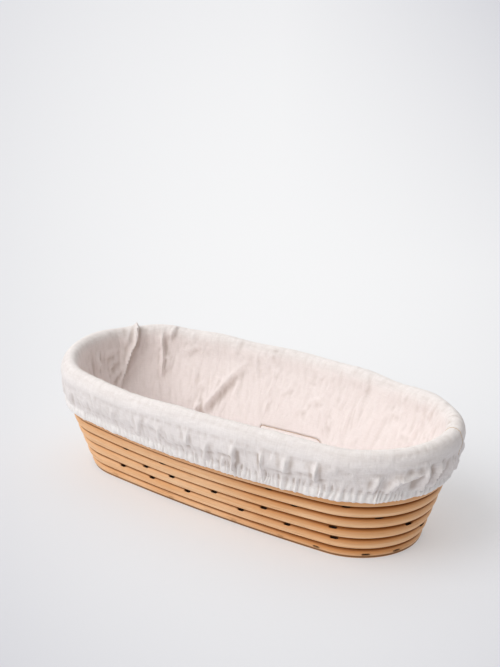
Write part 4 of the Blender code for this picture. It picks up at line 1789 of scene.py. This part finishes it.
        # Painted shade in the hollows, less on the painted-light hem
        crease_shade = self.crease_shade_share * (1.0 - self.painted_hem_light_hollow * painted_hem_light) * hollow[rows]
        marks = {"inside": self.inner_falls.at(fall), "crease": crease_shade, "painted_hem_light": painted_hem_light}
        return Surface(name, points[rows], edge, fall, marks=marks)

    def panel(self) -> Surface:
        """The floor panel: from the seam down the wall's foot and over the floor, which shows the coil.

        Returns:
            The surface: rows down the wall, round the corner and in towards a spine along the middle.
        """
        floor, corner = self.floor_height, self.floor_corner
        foot = floor + corner
        distance = np.arange(self.panel_columns) * self.around / self.panel_columns
        turn = distance[None] / self.around
        top = self.seam_line(distance)[None] - 0.0001
        turned = 0.06
        share = np.concatenate(([0.0, 0.02, turned], np.linspace(0.12, 1.0, 13)))[:, None]
        wall_offset = self.inner_offset + self.seam_turn * (1.0 - ease(share / turned))
        bend = np.linspace(0.0, math.pi / 2, 8)[1:, None]
        height = np.vstack((top - share * (top - foot), foot - corner * np.sin(bend) + np.zeros_like(top)))
        offset = np.vstack((wall_offset, self.inner_offset - corner * (1 - np.cos(bend))))
        shell = self.laid(distance[None], offset, height)
        rim = shell[-1, :, :2]
        _, centre, _, _, _ = self.oval.arcs(floor, float(offset[-1, 0]))
        spine = np.column_stack((np.clip(rim[:, 0], -float(centre), float(centre)), np.zeros(len(rim))))
        inward = np.linspace(1.0, 0.0, 26)[1:, None]
        flat = spine[None] + inward[..., None] * (rim - spine)[None]
        from_edge = (1.0 - inward) * np.linalg.norm(rim - spine, axis=1)[None]
        waves = self.floor_billow * self.billow.at(turn, from_edge) * ease(inward * 3)
        heights = floor + self.coil_print * np.cos(TAU * from_edge / self.coil_pitch) + waves
        points = np.vstack((shell, np.concatenate((flat, heights[..., None]), axis=-1)))
        normal, _ = self.facing(points)
        reach = run(points[:, 0])[:, None]
        order = np.arange(len(points))
        slack = (self.panel_slack.at(order) * self.panel_flat.at(order))[:, None]
        billow = self.panel_billow * np.abs(self.billow.at(turn, reach))
        wrinkle = self.panel_crumple * self.crumple.at(turn, reach) + billow
        points = points + (slack * np.maximum(wrinkle, self.inner_limit))[..., None] * normal
        spread = np.concatenate((points, points[:, :1]), axis=1)
        # The floor panel gets the painted warm tint of the inside all over
        marks = {"inside": np.ones(1)}
        return Surface("liner_floor_panel", points, spread[..., 0], spread[..., 1], marks=marks)

    def sewn(self, surface: Surface, *nodes: str, weld: bool = False) -> Piece:
        """A piece of cloth with its thickness, away from its showing side.

        Args:
            surface: Its showing side.
            *nodes: CAD nodes that it stands for.
            weld: Whether points that lie together are joined first.

        Returns:
            The piece.
        """
        piece = surface.piece()
        if weld:
            join = piece.modifiers.new("weld", "WELD")
            join.merge_threshold = self.weld_gap
        solid = piece.modifiers.new("thickness", "SOLIDIFY")
        solid.thickness = self.thickness
        solid.offset = -1.0
        return settle(piece, Body.LINER, Slot.CLOTH, self.cloth, *nodes)

    def ring(self, name: str, distance: Array, offset: Array, height: Array, girth: float) -> Surface:
        """A closed strand once round the wall, from offsets and heights round its section."""
        points = self.laid(distance[None], offset, height)
        points = np.concatenate((points, points[:1]))[::-1]
        edge = np.append(distance, self.around)[None]
        return Surface(name, points, edge, np.linspace(0.0, girth, len(points))[:, None])

    def ring_grid(self, sides: int) -> tuple[Array, Array]:
        """Distances along the wall of a strand's columns, and angles round its section as a column."""
        distance = np.arange(self.ring_columns) * self.around / self.ring_columns
        return distance, np.linspace(0.0, TAU, sides, endpoint=False)[:, None]

    def elastic_band(self) -> Surface:
        """The elastic in the hem: a flat strip with rounded edges, drawn a little wavy."""
        lowest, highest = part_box("hem_elastic")
        middle = (lowest[2] + highest[2]) / 2
        half = (highest[2] - lowest[2]) / 2
        distance, angle = self.ring_grid(14)
        height = middle + half * np.sign(np.sin(angle)) * np.abs(np.sin(angle)) ** self.elastic_squareness
        wave = self.elastic_wave * np.sin(TAU * distance / self.elastic_wavelength)
        middle_offset = self.elastic_offset + wave - self.elastic_tuck * self.at_ends(distance)
        offset = middle_offset + self.elastic_half * np.cos(angle)
        return self.ring("hem_elastic", distance, offset, height, 4 * half)

    def seam_cord(self) -> Surface:
        """The thread that lies in the seam between the floor panel and the band, twisted thick and thin. Its
        tan also stands in for the shade in the seam's fold.
        """
        distance, angle = self.ring_grid(8)
        thick = self.cord_radius + self.cord_twist * np.sin(TAU * distance / self.cord_lay)
        offset = self.inner_offset + 0.0001 + thick * np.cos(angle)
        height = self.seam_line(distance) - 0.00005 + thick * np.sin(angle)
        return self.ring("floor_seam", distance, offset, height, TAU * self.cord_radius)

    def hem_stitching(self, line: Array, normal: Array) -> Piece:
        """A row of stitches along a closed line on the cloth.

        Args:
            line: Points of the line, in order.
            normal: The cloth's showing side at each point.

        Returns:
            The object: short arched tubes whose ends dip into the cloth.
        """
        length, wire = self.stitch_length, self.stitch_wire
        closed, sides = np.vstack((line, line[:1])), np.vstack((normal, normal[:1]))
        along = run(closed)
        count = int(along[-1] / (length + self.stitch_gap))
        middle = (np.arange(count) + 0.5) * along[-1] / count
        behind, place, ahead = (at_run(middle + way * length / 2, along, closed) for way in (-1, 0, 1))
        tangent = unit(ahead - behind)
        side = unit(np.cross(unit(at_run(middle, along, sides)), tangent))
        form = stitch_form(length / 2, 0.25 * wire, 0.7 * wire, wire / 2)
        frames = np.stack((tangent, side, np.cross(tangent, side)), axis=1)
        return copies("hem_stitching", form, place, frames)

    def side_seam(self, points: Array, normal: Array) -> Piece:
        """Slanted stitches over the rim where the band's two ends are joined, at the +X end."""
        column = int(np.abs(self.distance - self.join_distance).argmin())
        first, last = self.join_rows
        rows = np.arange(self.top + first, self.top + last)
        line = through(points[rows, column], self.join_stitches)
        out = unit(through(normal[rows, column], self.join_stitches))
        tangent = unit(np.gradient(line, axis=0))
        turn = np.where(np.arange(self.join_stitches) % 2, self.join_slant, -self.join_slant)[:, None]
        along = unit(tangent + turn * np.cross(out, tangent))
        frames = np.stack((along, np.cross(out, along), out), axis=1)
        return copies("side_seam", stitch_form(*self.join_form), line, frames)

    def build(self) -> None:
        """Makes the liner's pieces and says what cloth they were cut from."""
        points, hollow = self.cloth_grid()
        normal, _ = self.facing(points)
        turned = self.tuck_rows - 1
        stitched = turned + self.hem_rows - 1
        band = self.sewn(self.cut("liner_band", points, hollow, slice(turned, None)), "liner_band")
        hem = self.sewn(self.cut("hem_casing", points, hollow, slice(0, turned + 1)))
        panel = self.sewn(self.panel(), "liner_floor_panel", weld=True)
        settle(self.elastic_band().piece(), Body.LINER, Slot.ELASTIC, self.elastic, "hem_elastic")
        line = self.hem_stitching(points[stitched], normal[stitched])
        settle(line, Body.LINER, Slot.CLOTH, self.thread)
        join = settle(self.side_seam(points, normal), Body.LINER, Slot.CLOTH, self.seam_thread)
        cord = settle(self.seam_cord().piece(), Body.LINER, Slot.CLOTH, self.seam_thread)


# Studio


class Lamp(NamedTuple):
    """A broad lamp: its turn and height in degrees, its power and its colour."""

    name: str
    turn: float
    height: float
    power: float
    colour: Triple


@dataclass
class Studio:
    """Pale sweep of paper, soft lights from the left and the front under a bright ceiling, and the camera."""

    camera_place: Triple = (0.623724, -0.773785, 0.467020)
    camera_turn: float = 0.678483
    camera_dip: float = 0.329655
    lens: float = 77.513
    lamps: tuple[Lamp, ...] = (
        Lamp("key", -30.0, 50.0, 1.06, (0.985, 1.0, 1.025)),
        Lamp("front", 0.0, 35.0, 0.75, (1.0, 0.965, 0.915)),
    )
    lamp_spread: float = math.radians(45)
    sky_lobes: tuple[tuple[Triple, float], ...] = (
        ((0.0, 0.0, 1.0), 0.665),
        ((-0.628, 0.779, 0.0), 0.733),
        ((-0.779, -0.628, 0.0), 0.265),
    )
    sky_colour: Colour = (1.0, 0.985, 0.955, 1.0)
    backdrop: Colour = (0.672, 0.675, 0.715, 1.0)
    floor_half: float = 14.0
    floor_low: float = -0.0002
    floor_colour: Colour = (0.500, 0.504, 0.522, 1.0)
    floor_roughness: float = 0.9
    floor_specular: float = 0.1
    glow_edge: Colour = (0.146, 0.149, 0.178, 1.0)
    glow_middle: Colour = (0.388, 0.391, 0.390, 1.0)
    pool_middle: Pair = (0.021, 0.604)
    pool_falls: Triple = (10.5, 1.6, -8.3)
    pool_nearest: float = 0.3

    def build(self) -> None:
        """Makes the floor, the lights and the camera."""
        scene = bpy.context.scene
        scene.view_settings.view_transform = "Standard"
        self.floor()
        for lamp in self.lamps:
            light = bpy.data.lights.new(lamp.name, "SUN")
            light.energy = lamp.power
            light.color = lamp.colour
            light.angle = self.lamp_spread
            stand = bpy.data.objects.new(lamp.name, light)
            stand.rotation_euler = (math.radians(90.0 - lamp.height), 0.0, math.radians(lamp.turn))
            scene.collection.objects.link(stand)
        self.sky()
        view = bpy.data.cameras.new("camera")
        view.lens = self.lens
        eye = bpy.data.objects.new("camera", view)
        eye.location = self.camera_place
        eye.rotation_euler = (math.pi / 2 - self.camera_dip, 0.0, self.camera_turn)
        scene.collection.objects.link(eye)
        scene.camera = eye

    def sky(self) -> None:
        """White light, brightest overhead, behind and to the left. What is seen of it is an even backdrop."""
        world = bpy.data.worlds.new("soft_sky")
        world.use_nodes = True
        sheet = Sheet(world.node_tree)
        place = sheet.node("ShaderNodeTexCoord").outputs["Generated"]
        facing = [sheet.maths("MAXIMUM", sheet.dot(place, axis), 0.0) for axis, _ in self.sky_lobes]
        power = sheet.weigh(*zip(facing, (power for _, power in self.sky_lobes)))
        rays = sheet.node("ShaderNodeLightPath").outputs
        seen = sheet.maths("MAXIMUM", rays["Is Camera Ray"], rays["Is Glossy Ray"])
        seen = sheet.maths("MAXIMUM", seen, rays["Is Transmission Ray"])
        strength = sheet.node("ShaderNodeMix", {0: seen, 2: power, 3: 1.0}).outputs[0]
        sky = world.node_tree.nodes["Background"]
        sheet.feed(sky.inputs["Color"], sheet.blend(seen, self.sky_colour, self.backdrop))
        sheet.feed(sky.inputs["Strength"], strength)
        bpy.context.scene.world = world

    def floor(self) -> None:
        """A wide pale floor just under the basket, lit from within by a soft pool round its middle."""
        mesh = bpy.data.meshes.new("floor")
        sides = np.asarray(((-1, -1), (1, -1), (1, 1), (-1, 1)))
        square = np.column_stack((self.floor_half * sides, np.full(4, self.floor_low)))
        mesh.from_pydata(square, [], [(0, 1, 2, 3)])
        plane = link("floor", mesh)
        material = bpy.data.materials.new("pale_floor")
        material.use_nodes = True
        shader = material.node_tree.nodes["Principled BSDF"]
        shader.inputs["Base Color"].default_value = self.floor_colour
        shader.inputs["Roughness"].default_value = self.floor_roughness
        shader.inputs["Specular IOR Level"].default_value = self.floor_specular
        sheet = Sheet(material.node_tree)
        glow = sheet.blend(self.pool(sheet), self.glow_edge, self.glow_middle)
        sheet.feed(shader.inputs["Emission Color"], glow)
        shader.inputs["Emission Strength"].default_value = 1.0
        mesh.materials.append(material)

    def pool(self, sheet: Sheet) -> Socket:
        """How near the pool's middle a point of the floor lies.

        From a fixed spot, it falls off with the squares of the slope aside and of one over the depth, and
        with their product in one corner.

        Args:
            sheet: The floor material's sheet.

        Returns:
            Values from 1 in the middle to 0.
        """
        turn, dip = self.camera_turn, self.camera_dip
        ahead = (-math.sin(turn) * math.cos(dip), math.cos(turn) * math.cos(dip), -math.sin(dip))
        aside = (math.cos(turn), math.sin(turn), 0.0)
        place = sheet.node("ShaderNodeTexCoord").outputs["Object"]
        inputs = {0: place, 1: self.camera_place}
        reach = sheet.node("ShaderNodeVectorMath", inputs, operation="SUBTRACT").outputs[0]
        deep = sheet.maths("MAXIMUM", sheet.dot(reach, ahead), self.pool_nearest)
        slope = sheet.maths("DIVIDE", sheet.dot(reach, aside), deep)
        across = sheet.maths("SUBTRACT", slope, self.pool_middle[0])
        back = sheet.maths("SUBTRACT", sheet.maths("DIVIDE", 1.0, deep), self.pool_middle[1])
        right, low = sheet.maths("MAXIMUM", across, 0.0), sheet.maths("MINIMUM", back, 0.0)
        pairs = ((across, across), (back, back), (right, low))
        products = [sheet.maths("MULTIPLY", *pair) for pair in pairs]
        return sheet.span(sheet.weigh(*zip(products, self.pool_falls)), 0.0, 1.0, 1.0, 0.0)


def main() -> None:
    """Builds the basket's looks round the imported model."""
    logging.basicConfig(level=logging.INFO, format="%(name)s: %(message)s")
    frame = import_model()
    finishes = (
        CaneFinish(),
        PlainFinish(
            "dark_wire", 0.5, light=(0.050, 0.036, 0.028, 1.0), shade=(0.015, 0.010, 0.008, 1.0), metallic=1.0
        ),
        ClothFinish(),
        ClothFinish("covered_elastic", 0.85, threads=900.0),
        PlainFinish("white_thread", 0.8, light=(0.84, 0.80, 0.78, 1.0), shade=(0.70, 0.66, 0.63, 1.0)),
        # Tan thread for the side seam and the floor seam's cord; on the cord its tan also stands in for the
        # shade in the seam's fold
        PlainFinish("tan_thread", 0.8, light=(0.74, 0.57, 0.41, 1.0), shade=(0.62, 0.45, 0.31, 1.0)),
    )
    effects = Effects()
    rattan, wire, cloth, elastic, thread, seam_thread = (finish.material(effects) for finish in finishes)
    oval = WallOval()
    Coil(oval, rattan, wire).build(frame["nodes"])
    Liner(oval, cloth, elastic, thread, seam_thread).build()
    Studio().build()


if __name__ == "__main__":
    main()
